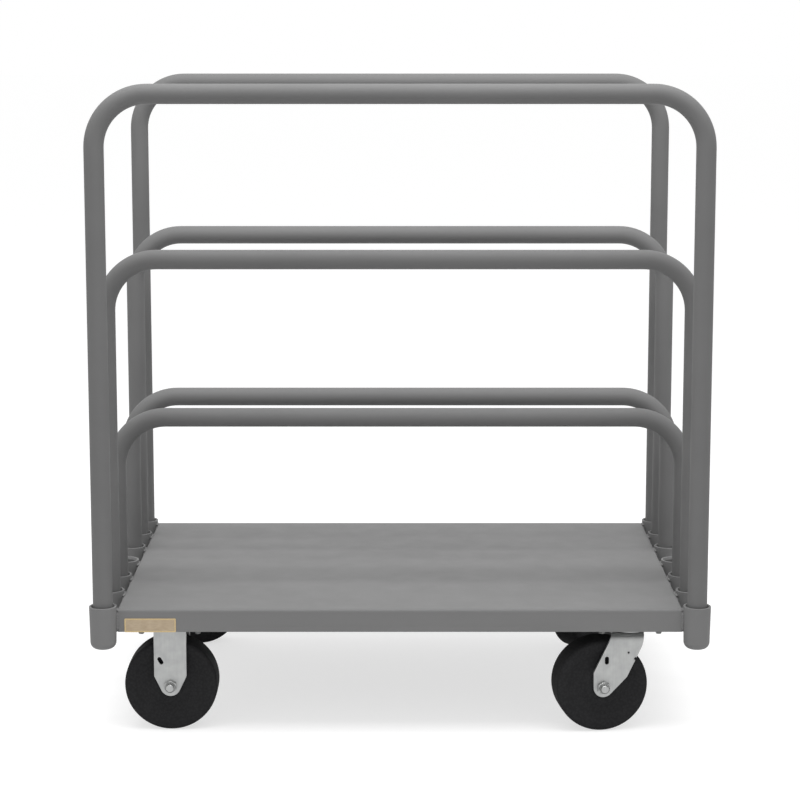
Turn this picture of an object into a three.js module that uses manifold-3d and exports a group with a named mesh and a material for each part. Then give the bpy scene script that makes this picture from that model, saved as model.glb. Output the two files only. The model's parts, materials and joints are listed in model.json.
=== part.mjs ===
// Sheet goods cart: a welded steel deck on two rigid and two swivel casters, with six tube
// dividers that stand in socket cups along both ends of the deck and lift out.
// Millimetres, +Z up. +X points to the swivel end, -Y to the front side.
// The origin lies on the floor under the middle of the deck.
import * as THREE from 'three';
import { mergeVertices } from 'three/addons/utils/BufferGeometryUtils.js';
import loadManifold from 'manifold-3d';

const wasm = await loadManifold();
wasm.setup();

// Clearances
const SLIP_GAP = 0.3; // between pieces that slide, turn or sit in each other
const SEAT_GAP = 0.1; // between faces that are welded, bolted or stuck together
const THROUGH = 2; // how far a cutting tool reaches past the face it cuts
const SAME_POINT = 1e-4; // corners closer than this are one

// Deck: a sheet steel pan with its flanges turned down
const DECK_LENGTH = 914.4;
const DECK_DEPTH = 609.6;
const DECK_SHEET = 2.66;
const FLANGE_DEPTH = 38.1;
const DECK_BEND_RADIUS = 4.5;

// Plates and rib welded under the deck
const BOLSTER_WIDTH = 130;
const BOLSTER_CORNER_RADIUS = 6;
const BOLSTER_THICKNESS = 12.7;
const RIB_WIDTH = 60;
const RIB_DROP = 24;
const RIB_LIP = 20;

// Socket cups along both ends of the deck
const SOCKETS_PER_SIDE = 7;
const SOCKET_PLAY = 1.225; // between tube and bore, all round
const SOCKET_WALL_TOP = 5.1;
const SOCKET_WALL_BOTTOM = 3.7;
const SOCKET_RISE = 5.5; // rim above the deck top
const SOCKET_LENGTH = 70;
const SOCKET_FLOOR = 5;
const SOCKET_FILLET = 7;

// Dividers: bent tube hoops, from the tall outer pair to the low inner pair
const TUBE_DIAMETER = 31.75;
const TUBE_WALL = 2.1;
const BEND_RADIUS = 84;
const TALL_RISE = 844; // top of the rail above the deck
const MEDIUM_RISE = 573;
const LOW_RISE = 294;

// Casters
const PLATE_TO_END = 22.39; // plate from the flange at the deck's end
const PLATE_TO_SIDE = 3.34; // plate from the flange at the deck's side
const PLATE_LENGTH = 114.3;
const PLATE_WIDTH = 101.6;
const PLATE_THICKNESS = 6.35;
const PLATE_CORNER_RADIUS = 10;
const BOLT_SPACING_LONG = 92.1;
const BOLT_SPACING_SHORT = 66.7;
const BOLT_DIAMETER = 9.5;
const BOLT_NUT_WIDTH = 14.3;
const BOLT_NUT_HEIGHT = 8;
const BOLT_TAIL = 25; // from the plate down to the end of the thread
const BOLT_SHY = 0.45; // a bolt ends this much below the top of the bolster

// Wheels, bearings and axles
const WHEEL_DIAMETER = 152.4;
const WHEEL_WIDTH = 50.8;
const WHEEL_EDGE = 5; // rounded edge of the tread
const RIM_BAND = 15; // flat ring next to the tread
const WEB_RECESS = 3.5; // the disc between rim and hub lies this much deeper
const HUB_DIAMETER = 54;
const HUB_PROUD = 1.6; // hub end past the side of the wheel
const BEARING_DIAMETER = 30;
const BUSHING_DIAMETER = 19.05;
const BUSHING_PROUD = 1; // bushing end past the hub
const AXLE_DIAMETER = 12.7;
const AXLE_HEAD_WIDTH = 19;
const AXLE_HEAD_HEIGHT = 8;
const AXLE_NUT_HEIGHT = 10;
const AXLE_TAIL = 3; // thread that shows past the nut

// Forks
const FORK_SHEET = 5;
const FORK_END_RADIUS = 16.5;
const RIGID_LEG_WIDTH = 53;
const LEG_TAPER_START = 17; // the leg narrows from this height above the axle
const LEG_SLOT_LENGTH = 13;
const LEG_SLOT_WIDTH = 6.5;
const RIGID_SLOT_RISE = 43; // slot centre above the axle
const RIGID_SLOT_SIDE = 16; // slot centre beside the leg's middle
const RIGID_SLOT_TILT = THREE.MathUtils.degToRad(30);
const SWIVEL_OFFSET = 48; // axle behind the kingpin
const SWIVEL_YAW_FRONT = THREE.MathUtils.degToRad(8);
const SWIVEL_YAW_REAR = THREE.MathUtils.degToRad(50);
const SWIVEL_SLOT_RISE = 45;
const SWIVEL_SLOT_SIDE = 5;
const CROWN_REACH_TRAIL = 31; // crown edge from the kingpin, over the wheel
const CROWN_REACH_LEAD = 21; // crown edge from the kingpin, away from the wheel
const LEG_NECK_RISE = 46; // narrowest height of the leg's lead edge above the axle
const LEG_NECK_REACH = 5.5; // lead edge from the kingpin there
const LEG_KNEE_RISE = 25; // the trail edge bends here
const LEG_KNEE_SIDE = 16.8; // trail edge from the axle there
const LEG_HEEL_RISE = 16; // the lead edge turns in to the axle here
const LEG_HEEL_SIDE = 39; // lead edge from the axle there

// Swivel heads
const WHEEL_HEADROOM = 8.75; // between the top of a wheel and the fork crown
const SWIVEL_STACK = 24.35; // space between top plate and fork crown
const RACE_DIAMETER = 76;
const RACE_HEIGHT = 9;
const BALL_RING_OUTER = 72;
const BALL_RING_INNER = 48;
const KINGPIN_DIAMETER = 16;
const KINGPIN_HEAD_DIAMETER = 26;
const KINGPIN_HEAD_HEIGHT = 4;
const KINGPIN_NUT_WIDTH = 24;
const KINGPIN_NUT_HEIGHT = 10;

// Bare label plate on the front flange
const LABEL_LENGTH = 83;
const LABEL_HEIGHT = 22.7;
const LABEL_THICKNESS = 0.8;
const LABEL_FROM_END = 12;
const LABEL_CORNER_RADIUS = 1.5;

// Facets of round surfaces
const TUBE_SIDES = 10;
const BEND_STEPS = 5;
const BEND_FACETS = 3;
const SOCKET_SIDES = 12;
const WHEEL_SIDES = 24;
const PIN_SIDES = 10;
const HOLE_SIDES = 8;
const RING_SIDES = 16;
const ARC_STEPS = 3;
const CORNER_STEPS = 1;
const SLOT_STEPS = 2;
const FILLET_STEPS = 2;

// Places worked out from the sizes above
const AXLE_HEIGHT = WHEEL_DIAMETER / 2;
const CROWN_BOTTOM = WHEEL_DIAMETER + WHEEL_HEADROOM;
const CROWN_TOP = CROWN_BOTTOM + FORK_SHEET;
const PLATE_BOTTOM = CROWN_TOP + SWIVEL_STACK;
const CASTER_HEIGHT = PLATE_BOTTOM + PLATE_THICKNESS;
const BOLSTER_BOTTOM = CASTER_HEIGHT + SEAT_GAP;
const BOLSTER_TOP = BOLSTER_BOTTOM + BOLSTER_THICKNESS;
const DECK_UNDERSIDE = BOLSTER_TOP + SEAT_GAP;
const DECK_TOP = DECK_UNDERSIDE + DECK_SHEET;
const FLANGE_BOTTOM = DECK_TOP - FLANGE_DEPTH;
const SOCKET_PITCH = DECK_DEPTH / (SOCKETS_PER_SIDE - 1); // the end ones stand at the deck's corners
const SOCKET_BORE = TUBE_DIAMETER + 2 * SOCKET_PLAY;
const SOCKET_TOP_DIAMETER = SOCKET_BORE + 2 * SOCKET_WALL_TOP;
const SOCKET_BOTTOM_DIAMETER = SOCKET_BORE + 2 * SOCKET_WALL_BOTTOM;
const SOCKET_X = DECK_LENGTH / 2 + SOCKET_TOP_DIAMETER / 2 + SLIP_GAP;
const SOCKET_RIM = DECK_TOP + SOCKET_RISE;
const SOCKET_BOTTOM = SOCKET_RIM - SOCKET_LENGTH;
const LEG_FOOT = SOCKET_BOTTOM + SOCKET_FLOOR + SLIP_GAP;
const HUB_LENGTH = WHEEL_WIDTH + 2 * HUB_PROUD;
const BUSHING_LENGTH = HUB_LENGTH + 2 * BUSHING_PROUD;
const LEG_INSIDE = BUSHING_LENGTH / 2 + SLIP_GAP;
const LEG_OUTSIDE = LEG_INSIDE + FORK_SHEET;
const CASTER_X = DECK_LENGTH / 2 - DECK_SHEET - PLATE_TO_END - PLATE_LENGTH / 2;
const CASTER_Y = DECK_DEPTH / 2 - DECK_SHEET - PLATE_TO_SIDE - PLATE_WIDTH / 2;

// Finishes
const GREY_PAINT = { color: 0x747575, roughness: 0.55, metalness: 0.1 };
const ZINC_PLATE = { color: 0xb3b3b1, roughness: 0.38, metalness: 0.85 };
const BARE_STEEL = { color: 0x8c8c8a, roughness: 0.4, metalness: 0.9 };
const PHENOLIC = { color: 0x2a2a2a, roughness: 0.6, metalness: 0 };
const TAN_LABEL = { color: 0xc8ad84, roughness: 0.6, metalness: 0 };

// Boolean helpers: a three.js geometry becomes a solid and comes back

function solidOf(geometry) {
  const bare = geometry.clone();
  bare.deleteAttribute('normal');
  bare.deleteAttribute('uv');
  const merged = mergeVertices(bare, SAME_POINT);
  const triVerts = merged.index ? Uint32Array.from(merged.index.array) : undefined;
  const vertProperties = Float32Array.from(merged.attributes.position.array);
  return new wasm.Manifold(new wasm.Mesh({ numProp: 3, vertProperties, triVerts }));
}

function geometryOf(solid) {
  const { vertProperties, triVerts } = solid.getMesh();
  const geometry = new THREE.BufferGeometry();
  geometry.setAttribute('position', new THREE.BufferAttribute(vertProperties, 3));
  geometry.setIndex(new THREE.BufferAttribute(triVerts, 1));
  geometry.computeVertexNormals();
  return geometry;
}

function joinAll(solids) {
  return solids.reduce((sum, next) => sum.add(next));
}

function cutAll(body, tools) {
  return tools.reduce((rest, tool) => rest.subtract(tool), body);
}

function meshOf(name, shape, finish) {
  const geometry = shape.isBufferGeometry ? shape : geometryOf(shape);
  const mesh = new THREE.Mesh(geometry, new THREE.MeshStandardMaterial(finish));
  mesh.name = name;
  return mesh;
}

// Shape helpers

function roundedRectangle(length, width, radius) {
  const x = length / 2;
  const y = width / 2;
  const shape = new THREE.Shape();
  shape.moveTo(-x + radius, -y);
  shape.lineTo(x - radius, -y);
  shape.absarc(x - radius, -y + radius, radius, -Math.PI / 2, 0, false);
  shape.lineTo(x, y - radius);
  shape.absarc(x - radius, y - radius, radius, 0, Math.PI / 2, false);
  shape.lineTo(-x + radius, y);
  shape.absarc(-x + radius, y - radius, radius, Math.PI / 2, Math.PI, false);
  shape.lineTo(-x, -y + radius);
  shape.absarc(-x + radius, -y + radius, radius, Math.PI, 1.5 * Math.PI, false);
  return shape;
}

function rectangle(length, width) {
  const shape = new THREE.Shape();
  shape.moveTo(-length / 2, -width / 2);
  shape.lineTo(length / 2, -width / 2);
  shape.lineTo(length / 2, width / 2);
  shape.lineTo(-length / 2, width / 2);
  return shape;
}

// A flat plate lying level, from height bottom to height top
function levelPlate(shape, bottom, top) {
  const geometry = new THREE.ExtrudeGeometry(shape, {
    depth: top - bottom, bevelEnabled: false, curveSegments: CORNER_STEPS,
  });
  return geometry.translate(0, 0, bottom);
}

// A flat plate standing in the XZ plane, from y = back to y = front
function uprightPlate(shape, front, back, curveSegments = ARC_STEPS) {
  const geometry = new THREE.ExtrudeGeometry(shape, {
    depth: back - front, bevelEnabled: false, curveSegments,
  });
  return geometry.rotateX(Math.PI / 2).translate(0, back, 0);
}

// A solid of revolution about Z; the profile runs anticlockwise as [radius, height] pairs
function turnedUpright(profile, sides) {
  const points = profile.map(([radius, height]) => new THREE.Vector2(radius, height));
  return new THREE.LatheGeometry(points, sides).rotateX(Math.PI / 2);
}

// The same about Y, with a facet and not a corner at the lowest place
function turnedAcross(profile, sides) {
  const points = profile.map(([radius, across]) => new THREE.Vector2(radius, across));
  return new THREE.LatheGeometry(points, sides, Math.PI / sides);
}

function ringProfile(inner, outer, low, high) {
  return [[inner, low], [outer, low], [outer, high], [inner, high], [inner, low]];
}

// A faceted hole goes round its pin: its flats, not its corners, keep the clearance
function boreRadius(pinDiameter, sides) {
  return (pinDiameter / 2 + SLIP_GAP) / Math.cos(Math.PI / sides);
}

function rodProfile(radius, low, high) {
  return [[0, low], [radius, low], [radius, high], [0, high]];
}

function hexagon(widthAcrossFlats) {
  const corner = widthAcrossFlats / Math.sqrt(3);
  const shape = new THREE.Shape();
  for (let i = 0; i < 6; i += 1) {
    const angle = (i * Math.PI) / 3;
    shape.lineTo(corner * Math.cos(angle), corner * Math.sin(angle));
  }
  return shape;
}

function uprightRod(radius, low, high, x, y, sides = HOLE_SIDES) {
  return solidOf(turnedUpright(rodProfile(radius, low, high), sides).translate(x, y, 0));
}

// Deck and what is welded under it

function deckPan() {
  const bend = DECK_BEND_RADIUS;
  const block = new THREE.ExtrudeGeometry(rectangle(DECK_LENGTH - 2 * bend, DECK_DEPTH - 2 * bend), {
    depth: FLANGE_DEPTH, bevelThickness: bend, bevelSize: bend, bevelSegments: BEND_FACETS,
  });
  block.translate(0, 0, FLANGE_BOTTOM - bend);
  const pocket = rectangle(DECK_LENGTH - 2 * DECK_SHEET, DECK_DEPTH - 2 * DECK_SHEET);
  const below = rectangle(DECK_LENGTH + 2 * THROUGH, DECK_DEPTH + 2 * THROUGH);
  const wellBelow = FLANGE_BOTTOM - 2 * bend - THROUGH;
  return cutAll(solidOf(block), [
    solidOf(levelPlate(pocket, wellBelow, DECK_UNDERSIDE)),
    solidOf(levelPlate(below, wellBelow, FLANGE_BOTTOM)),
  ]);
}

function boltPlaces() {
  const places = [];
  for (const sideX of [-1, 1]) {
    for (const sideY of [-1, 1]) {
      places.push([(sideX * BOLT_SPACING_LONG) / 2, (sideY * BOLT_SPACING_SHORT) / 2]);
    }
  }
  return places;
}

function bolster(x) {
  const length = DECK_DEPTH - 2 * DECK_SHEET - 2 * SLIP_GAP;
  const outline = roundedRectangle(BOLSTER_WIDTH, length, BOLSTER_CORNER_RADIUS);
  const plate = solidOf(levelPlate(outline, BOLSTER_BOTTOM, BOLSTER_TOP).translate(x, 0, 0));
  const holes = [];
  for (const casterY of [-CASTER_Y, CASTER_Y]) {
    for (const [dx, dy] of boltPlaces()) {
      const radius = boreRadius(BOLT_DIAMETER, HOLE_SIDES);
      holes.push(uprightRod(
        radius, BOLSTER_BOTTOM - THROUGH, BOLSTER_TOP + THROUGH, x + dx, casterY + dy,
      ));
    }
  }
  return cutAll(plate, holes);
}

// A hat-shaped rib along the deck, between the two bolsters
function deckRib() {
  const outer = RIB_WIDTH / 2;
  const lip = outer + RIB_LIP;
  const shape = new THREE.Shape();
  shape.moveTo(-lip, 0);
  shape.lineTo(-lip, -DECK_SHEET);
  shape.lineTo(-outer, -DECK_SHEET);
  shape.lineTo(-outer, -RIB_DROP);
  shape.lineTo(outer, -RIB_DROP);
  shape.lineTo(outer, -DECK_SHEET);
  shape.lineTo(lip, -DECK_SHEET);
  shape.lineTo(lip, 0);
  shape.lineTo(outer - DECK_SHEET, 0);
  shape.lineTo(outer - DECK_SHEET, -RIB_DROP + DECK_SHEET);
  shape.lineTo(-outer + DECK_SHEET, -RIB_DROP + DECK_SHEET);
  shape.lineTo(-outer + DECK_SHEET, 0);
  const length = 2 * (CASTER_X - BOLSTER_WIDTH / 2 - SLIP_GAP);
  return uprightPlate(shape, -length / 2, length / 2)
    .rotateZ(Math.PI / 2)
    .translate(0, 0, DECK_UNDERSIDE - SEAT_GAP);
}

function labelPlate() {
  const outline = roundedRectangle(LABEL_LENGTH, LABEL_HEIGHT, LABEL_CORNER_RADIUS);
  const back = -DECK_DEPTH / 2 - SEAT_GAP;
  const x = -DECK_LENGTH / 2 + LABEL_FROM_END + LABEL_LENGTH / 2;
  return uprightPlate(outline, back - LABEL_THICKNESS, back)
    .translate(x, 0, FLANGE_BOTTOM + LABEL_HEIGHT / 2);
}

// A cup with a tapered wall, a rounded bottom edge and an open top
function socketCup() {
  const profile = [[0, SOCKET_BOTTOM]];
  const bottom = SOCKET_BOTTOM_DIAMETER / 2;
  for (let i = 0; i <= FILLET_STEPS; i += 1) {
    const angle = (i / FILLET_STEPS - 1) * (Math.PI / 2);
    profile.push([
      bottom - SOCKET_FILLET + SOCKET_FILLET * Math.cos(angle),
      SOCKET_BOTTOM + SOCKET_FILLET + SOCKET_FILLET * Math.sin(angle),
    ]);
  }
  profile.push([SOCKET_TOP_DIAMETER / 2, SOCKET_RIM]);
  profile.push([SOCKET_BORE / 2, SOCKET_RIM]);
  profile.push([SOCKET_BORE / 2, SOCKET_BOTTOM + SOCKET_FLOOR]);
  profile.push([0, SOCKET_BOTTOM + SOCKET_FLOOR]);
  return turnedUpright(profile, SOCKET_SIDES);
}

// Dividers

// The centre line of a hoop: up the left leg, round two bends, down the right leg.
// Straight runs take one step and each bend takes BEND_STEPS.
class HoopLine extends THREE.Curve {
  constructor(railHeight) {
    super();
    this.railHeight = railHeight;
    this.steps = 3 + 2 * BEND_STEPS;
  }

  // Position and direction at station 0 to steps
  at(station) {
    const left = station <= this.steps / 2;
    const along = left ? station : this.steps - station;
    const side = left ? -1 : 1;
    const springing = this.railHeight - BEND_RADIUS;
    if (along <= 1) {
      const height = THREE.MathUtils.lerp(LEG_FOOT, springing, along);
      return [new THREE.Vector3(side * SOCKET_X, 0, height), new THREE.Vector3(0, 0, -side)];
    }
    const turn = Math.min((along - 1) / BEND_STEPS, 1) * (Math.PI / 2);
    const centre = SOCKET_X - BEND_RADIUS;
    const point = new THREE.Vector3(
      side * (centre + BEND_RADIUS * Math.cos(turn)), 0, springing + BEND_RADIUS * Math.sin(turn),
    );
    return [point, new THREE.Vector3(Math.sin(turn), 0, -side * Math.cos(turn))];
  }

  getPoint(t, target = new THREE.Vector3()) {
    return target.copy(this.at(t * this.steps)[0]);
  }

  getPointAt(u, target) {
    return this.getPoint(u, target);
  }

  getTangentAt(u, target = new THREE.Vector3()) {
    return target.copy(this.at(u * this.steps)[1]);
  }
}

function dividerHoop(rise) {
  const outer = TUBE_DIAMETER / 2;
  const ring = new THREE.Shape().absarc(0, 0, outer, 0, 2 * Math.PI, false);
  ring.holes.push(new THREE.Path().absarc(0, 0, outer - TUBE_WALL, 0, 2 * Math.PI, true));
  const line = new HoopLine(DECK_TOP + rise - outer);
  const tube = new THREE.ExtrudeGeometry(ring, {
    steps: line.steps, extrudePath: line, curveSegments: TUBE_SIDES / 2,
  });
  return solidOf(tube);
}

// Wheel set: everything on one axle, along Y, with the axle at the group's origin

function wheelBody() {
  const tread = WHEEL_DIAMETER / 2 / Math.cos(Math.PI / WHEEL_SIDES);
  const side = WHEEL_WIDTH / 2;
  const edge = WHEEL_EDGE * Math.SQRT1_2;
  const bevel = WHEEL_EDGE - edge;
  const half = [
    [boreRadius(BEARING_DIAMETER, WHEEL_SIDES), HUB_LENGTH / 2],
    [HUB_DIAMETER / 2, HUB_LENGTH / 2],
    [HUB_DIAMETER / 2 + WEB_RECESS, side - WEB_RECESS],
    [tread - RIM_BAND - WEB_RECESS, side - WEB_RECESS],
    [tread - RIM_BAND, side],
    [tread - WHEEL_EDGE, side],
    [tread - bevel, side - bevel],
    [tread, side - WHEEL_EDGE],
  ];
  const lower = half.map(([radius, across]) => [radius, -across]);
  return turnedAcross([...lower, ...half.reverse(), lower[0]], WHEEL_SIDES);
}

function rollerBearing() {
  const inner = boreRadius(BUSHING_DIAMETER, PIN_SIDES);
  const half = HUB_LENGTH / 2 - SLIP_GAP;
  return turnedAcross(ringProfile(inner, BEARING_DIAMETER / 2, -half, half), PIN_SIDES);
}

function spannerBushing() {
  const inner = boreRadius(AXLE_DIAMETER, PIN_SIDES);
  const half = BUSHING_LENGTH / 2;
  return turnedAcross(ringProfile(inner, BUSHING_DIAMETER / 2, -half, half), PIN_SIDES);
}

// The bolt's head lies against the leg at +Y and its tail shows past the nut at -Y
function axleBolt() {
  const seat = LEG_OUTSIDE + SLIP_GAP;
  const tail = seat + AXLE_NUT_HEIGHT + AXLE_TAIL;
  const head = uprightPlate(hexagon(AXLE_HEAD_WIDTH), seat, seat + AXLE_HEAD_HEIGHT);
  const shank = turnedAcross(rodProfile(AXLE_DIAMETER / 2, -tail, seat + SLIP_GAP), PIN_SIDES);
  return solidOf(head).add(solidOf(shank));
}

function axleNut() {
  const seat = LEG_OUTSIDE + SLIP_GAP;
  const body = uprightPlate(hexagon(AXLE_HEAD_WIDTH), -seat - AXLE_NUT_HEIGHT, -seat);
  return solidOf(body).subtract(axleHole());
}

function axleHole() {
  const reach = LEG_OUTSIDE + AXLE_NUT_HEIGHT + THROUGH;
  const radius = boreRadius(AXLE_DIAMETER, PIN_SIDES);
  return solidOf(turnedAcross(rodProfile(radius, -reach, reach), PIN_SIDES));
}

function wheelSet(prefix, nutAtBack) {
  const group = new THREE.Group();
  group.add(meshOf(`${prefix}_wheel`, wheelBody(), PHENOLIC));
  group.add(meshOf(`${prefix}_roller_bearing`, rollerBearing(), BARE_STEEL));
  group.add(meshOf(`${prefix}_spanner_bushing`, spannerBushing(), BARE_STEEL));
  group.add(meshOf(`${prefix}_axle_bolt`, axleBolt(), ZINC_PLATE));
  group.add(meshOf(`${prefix}_axle_nut`, axleNut(), ZINC_PLATE));
  group.rotation.z = nutAtBack ? Math.PI : 0;
  return group;
}

// Forks. Outlines are drawn in the XZ plane with the axle at 0, 0

function slotTool(x, z, tilt) {
  const radius = LEG_SLOT_WIDTH / 2;
  const reach = LEG_SLOT_LENGTH / 2 - radius;
  const shape = new THREE.Shape();
  shape.absarc(0, reach, radius, 0, Math.PI, false);
  shape.absarc(0, -reach, radius, Math.PI, 2 * Math.PI, false);
  const depth = LEG_OUTSIDE + THROUGH;
  return solidOf(uprightPlate(shape, -depth, depth, SLOT_STEPS).rotateY(-tilt).translate(x, 0, z));
}

// The angle at which a line from the corner point touches the round end of a leg
function tangentAngle(x, z, sign) {
  return Math.atan2(z, x) + sign * Math.acos(FORK_END_RADIUS / Math.hypot(x, z));
}

function rigidLegOutline(top) {
  const half = RIGID_LEG_WIDTH / 2;
  const right = tangentAngle(half, LEG_TAPER_START, -1);
  const shape = new THREE.Shape();
  shape.moveTo(half, top);
  shape.lineTo(-half, top);
  shape.lineTo(-half, LEG_TAPER_START);
  shape.absarc(0, 0, FORK_END_RADIUS, -Math.PI - right, right, false);
  shape.lineTo(half, LEG_TAPER_START);
  return shape;
}

// The wheel trails towards -X, so the leg leans from the axle up to the kingpin at +X
function swivelLegOutline(top) {
  const kneeAngle = tangentAngle(-LEG_KNEE_SIDE, LEG_KNEE_RISE, 1);
  const heelAngle = tangentAngle(LEG_HEEL_SIDE, LEG_HEEL_RISE, -1);
  const shape = new THREE.Shape();
  shape.moveTo(SWIVEL_OFFSET + CROWN_REACH_LEAD, top);
  shape.lineTo(SWIVEL_OFFSET - CROWN_REACH_TRAIL, top);
  shape.lineTo(-LEG_KNEE_SIDE, LEG_KNEE_RISE);
  shape.absarc(0, 0, FORK_END_RADIUS, kneeAngle, heelAngle + 2 * Math.PI, false);
  shape.lineTo(LEG_HEEL_SIDE, LEG_HEEL_RISE);
  shape.lineTo(SWIVEL_OFFSET + LEG_NECK_REACH, LEG_NECK_RISE);
  return shape;
}

function bothLegs(outline) {
  return [
    solidOf(uprightPlate(outline, -LEG_OUTSIDE, -LEG_INSIDE)),
    solidOf(uprightPlate(outline, LEG_INSIDE, LEG_OUTSIDE)),
  ];
}

// The four bolts that hold a caster plate: they hang from the bolster, each with a nut under the plate
function plateBolts() {
  const sunk = PLATE_THICKNESS / 2;
  return boltPlaces().flatMap(([x, y]) => [
    solidOf(levelPlate(hexagon(BOLT_NUT_WIDTH), PLATE_BOTTOM - BOLT_NUT_HEIGHT, PLATE_BOTTOM + sunk)
      .translate(x, y, 0)),
    uprightRod(BOLT_DIAMETER / 2, PLATE_BOTTOM - BOLT_TAIL, BOLSTER_TOP - BOLT_SHY, x, y),
  ]);
}

function casterPlate() {
  const outline = roundedRectangle(PLATE_LENGTH, PLATE_WIDTH, PLATE_CORNER_RADIUS);
  return solidOf(levelPlate(outline, PLATE_BOTTOM, CASTER_HEIGHT));
}

// Plate and legs of a rigid caster are one welded piece, with its mounting bolts
function rigidFork() {
  const top = PLATE_BOTTOM + PLATE_THICKNESS / 2 - AXLE_HEIGHT;
  const cuts = [
    axleHole(),
    slotTool(-RIGID_SLOT_SIDE, RIGID_SLOT_RISE, RIGID_SLOT_TILT),
  ];
  const slottedLegs = cutAll(joinAll(bothLegs(rigidLegOutline(top))), cuts)
    .translate([0, 0, AXLE_HEIGHT]);
  return joinAll([casterPlate(), slottedLegs, ...plateBolts()]);
}

function kingpinHole(low, high) {
  return uprightRod(boreRadius(KINGPIN_DIAMETER, PIN_SIDES), low, high, 0, 0, PIN_SIDES);
}

// Legs, crown and lower ball race of a swivel caster, with the kingpin at 0, 0
function swivelFork() {
  const legs = joinAll(bothLegs(swivelLegOutline(CROWN_TOP - AXLE_HEIGHT)));
  const cuts = [axleHole(), slotTool(SWIVEL_SLOT_SIDE, SWIVEL_SLOT_RISE, 0)];
  const slottedLegs = cutAll(legs, cuts).translate([-SWIVEL_OFFSET, 0, AXLE_HEIGHT]);
  const crownShape = roundedRectangle(
    CROWN_REACH_LEAD + CROWN_REACH_TRAIL, 2 * LEG_OUTSIDE, FORK_SHEET / 2,
  );
  const crown = solidOf(levelPlate(crownShape, CROWN_BOTTOM, CROWN_TOP)
    .translate((CROWN_REACH_LEAD - CROWN_REACH_TRAIL) / 2, 0, 0));
  const race = uprightRod(
    RACE_DIAMETER / 2, CROWN_BOTTOM + FORK_SHEET / 2, CROWN_TOP + RACE_HEIGHT, 0, 0, RING_SIDES,
  );
  const hole = kingpinHole(CROWN_BOTTOM - THROUGH, CROWN_TOP + RACE_HEIGHT + THROUGH);
  return joinAll([slottedLegs, crown, race]).subtract(hole);
}

// Plate with the upper ball race and its mounting bolts, bored for the kingpin and its head
function swivelTopPlate() {
  const race = uprightRod(
    RACE_DIAMETER / 2, PLATE_BOTTOM - RACE_HEIGHT, PLATE_BOTTOM + PLATE_THICKNESS / 2, 0, 0, RING_SIDES,
  );
  const hole = kingpinHole(PLATE_BOTTOM - RACE_HEIGHT - THROUGH, CASTER_HEIGHT + THROUGH);
  const seatRadius = boreRadius(KINGPIN_HEAD_DIAMETER, PIN_SIDES);
  const seatDepth = KINGPIN_HEAD_HEIGHT + 2 * SLIP_GAP;
  const seat = uprightRod(
    seatRadius, CASTER_HEIGHT - seatDepth, CASTER_HEIGHT + THROUGH, 0, 0, PIN_SIDES,
  );
  return cutAll(joinAll([casterPlate(), race, ...plateBolts()]), [hole, seat]);
}

function ballRing() {
  const low = CROWN_TOP + RACE_HEIGHT + SLIP_GAP;
  const high = PLATE_BOTTOM - RACE_HEIGHT - SLIP_GAP;
  return turnedUpright(ringProfile(BALL_RING_INNER / 2, BALL_RING_OUTER / 2, low, high), RING_SIDES);
}

// The pin hangs from its sunk head in the top plate and carries the fork on its nut
function kingpin() {
  const headTop = CASTER_HEIGHT - SLIP_GAP;
  const nutTop = CROWN_BOTTOM - SLIP_GAP;
  const shank = uprightRod(
    KINGPIN_DIAMETER / 2, nutTop - KINGPIN_NUT_HEIGHT, headTop, 0, 0, PIN_SIDES,
  );
  const head = uprightRod(
    KINGPIN_HEAD_DIAMETER / 2, headTop - KINGPIN_HEAD_HEIGHT, headTop, 0, 0, PIN_SIDES,
  );
  const nut = solidOf(levelPlate(hexagon(KINGPIN_NUT_WIDTH), nutTop - KINGPIN_NUT_HEIGHT, nutTop));
  return joinAll([shank, head, nut]);
}

// Assemblies

function rigidCaster(prefix, y) {
  const group = new THREE.Group();
  group.add(meshOf(`${prefix}_fork`, rigidFork(), ZINC_PLATE));
  const wheel = wheelSet(prefix, y > 0);
  wheel.position.z = AXLE_HEIGHT;
  group.add(wheel);
  group.position.set(-CASTER_X, y, 0);
  return group;
}

function swivelCaster(prefix, y, yaw) {
  const group = new THREE.Group();
  group.add(meshOf(`${prefix}_top_plate`, swivelTopPlate(), ZINC_PLATE));
  group.add(meshOf(`${prefix}_kingpin`, kingpin(), ZINC_PLATE));
  const turning = new THREE.Group();
  turning.add(meshOf(`${prefix}_ball_ring`, ballRing(), BARE_STEEL));
  turning.add(meshOf(`${prefix}_fork`, swivelFork(), ZINC_PLATE));
  const wheel = wheelSet(prefix, y > 0);
  wheel.position.set(-SWIVEL_OFFSET, 0, AXLE_HEIGHT);
  turning.add(wheel);
  turning.rotation.z = yaw;
  group.add(turning);
  group.position.set(CASTER_X, y, 0);
  return group;
}

function socketRow(side, sign) {
  const group = new THREE.Group();
  const middle = (SOCKETS_PER_SIDE + 1) / 2;
  for (let place = 1; place <= SOCKETS_PER_SIDE; place += 1) {
    const cup = meshOf(`socket_${side}_${place}`, socketCup(), GREY_PAINT);
    cup.position.set(sign * SOCKET_X, (place - middle) * SOCKET_PITCH, 0);
    group.add(cup);
  }
  return group;
}

function dividerRow() {
  const group = new THREE.Group();
  const outermost = ((SOCKETS_PER_SIDE - 1) / 2) * SOCKET_PITCH;
  const rises = { tall: TALL_RISE, medium: MEDIUM_RISE, low: LOW_RISE };
  Object.entries(rises).forEach(([size, rise], inward) => {
    const y = outermost - inward * SOCKET_PITCH;
    for (const [end, sign] of [['front', -1], ['rear', 1]]) {
      const hoop = meshOf(`${size}_divider_${end}`, dividerHoop(rise), GREY_PAINT);
      hoop.position.y = sign * y;
      group.add(hoop);
    }
  });
  return group;
}

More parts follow.
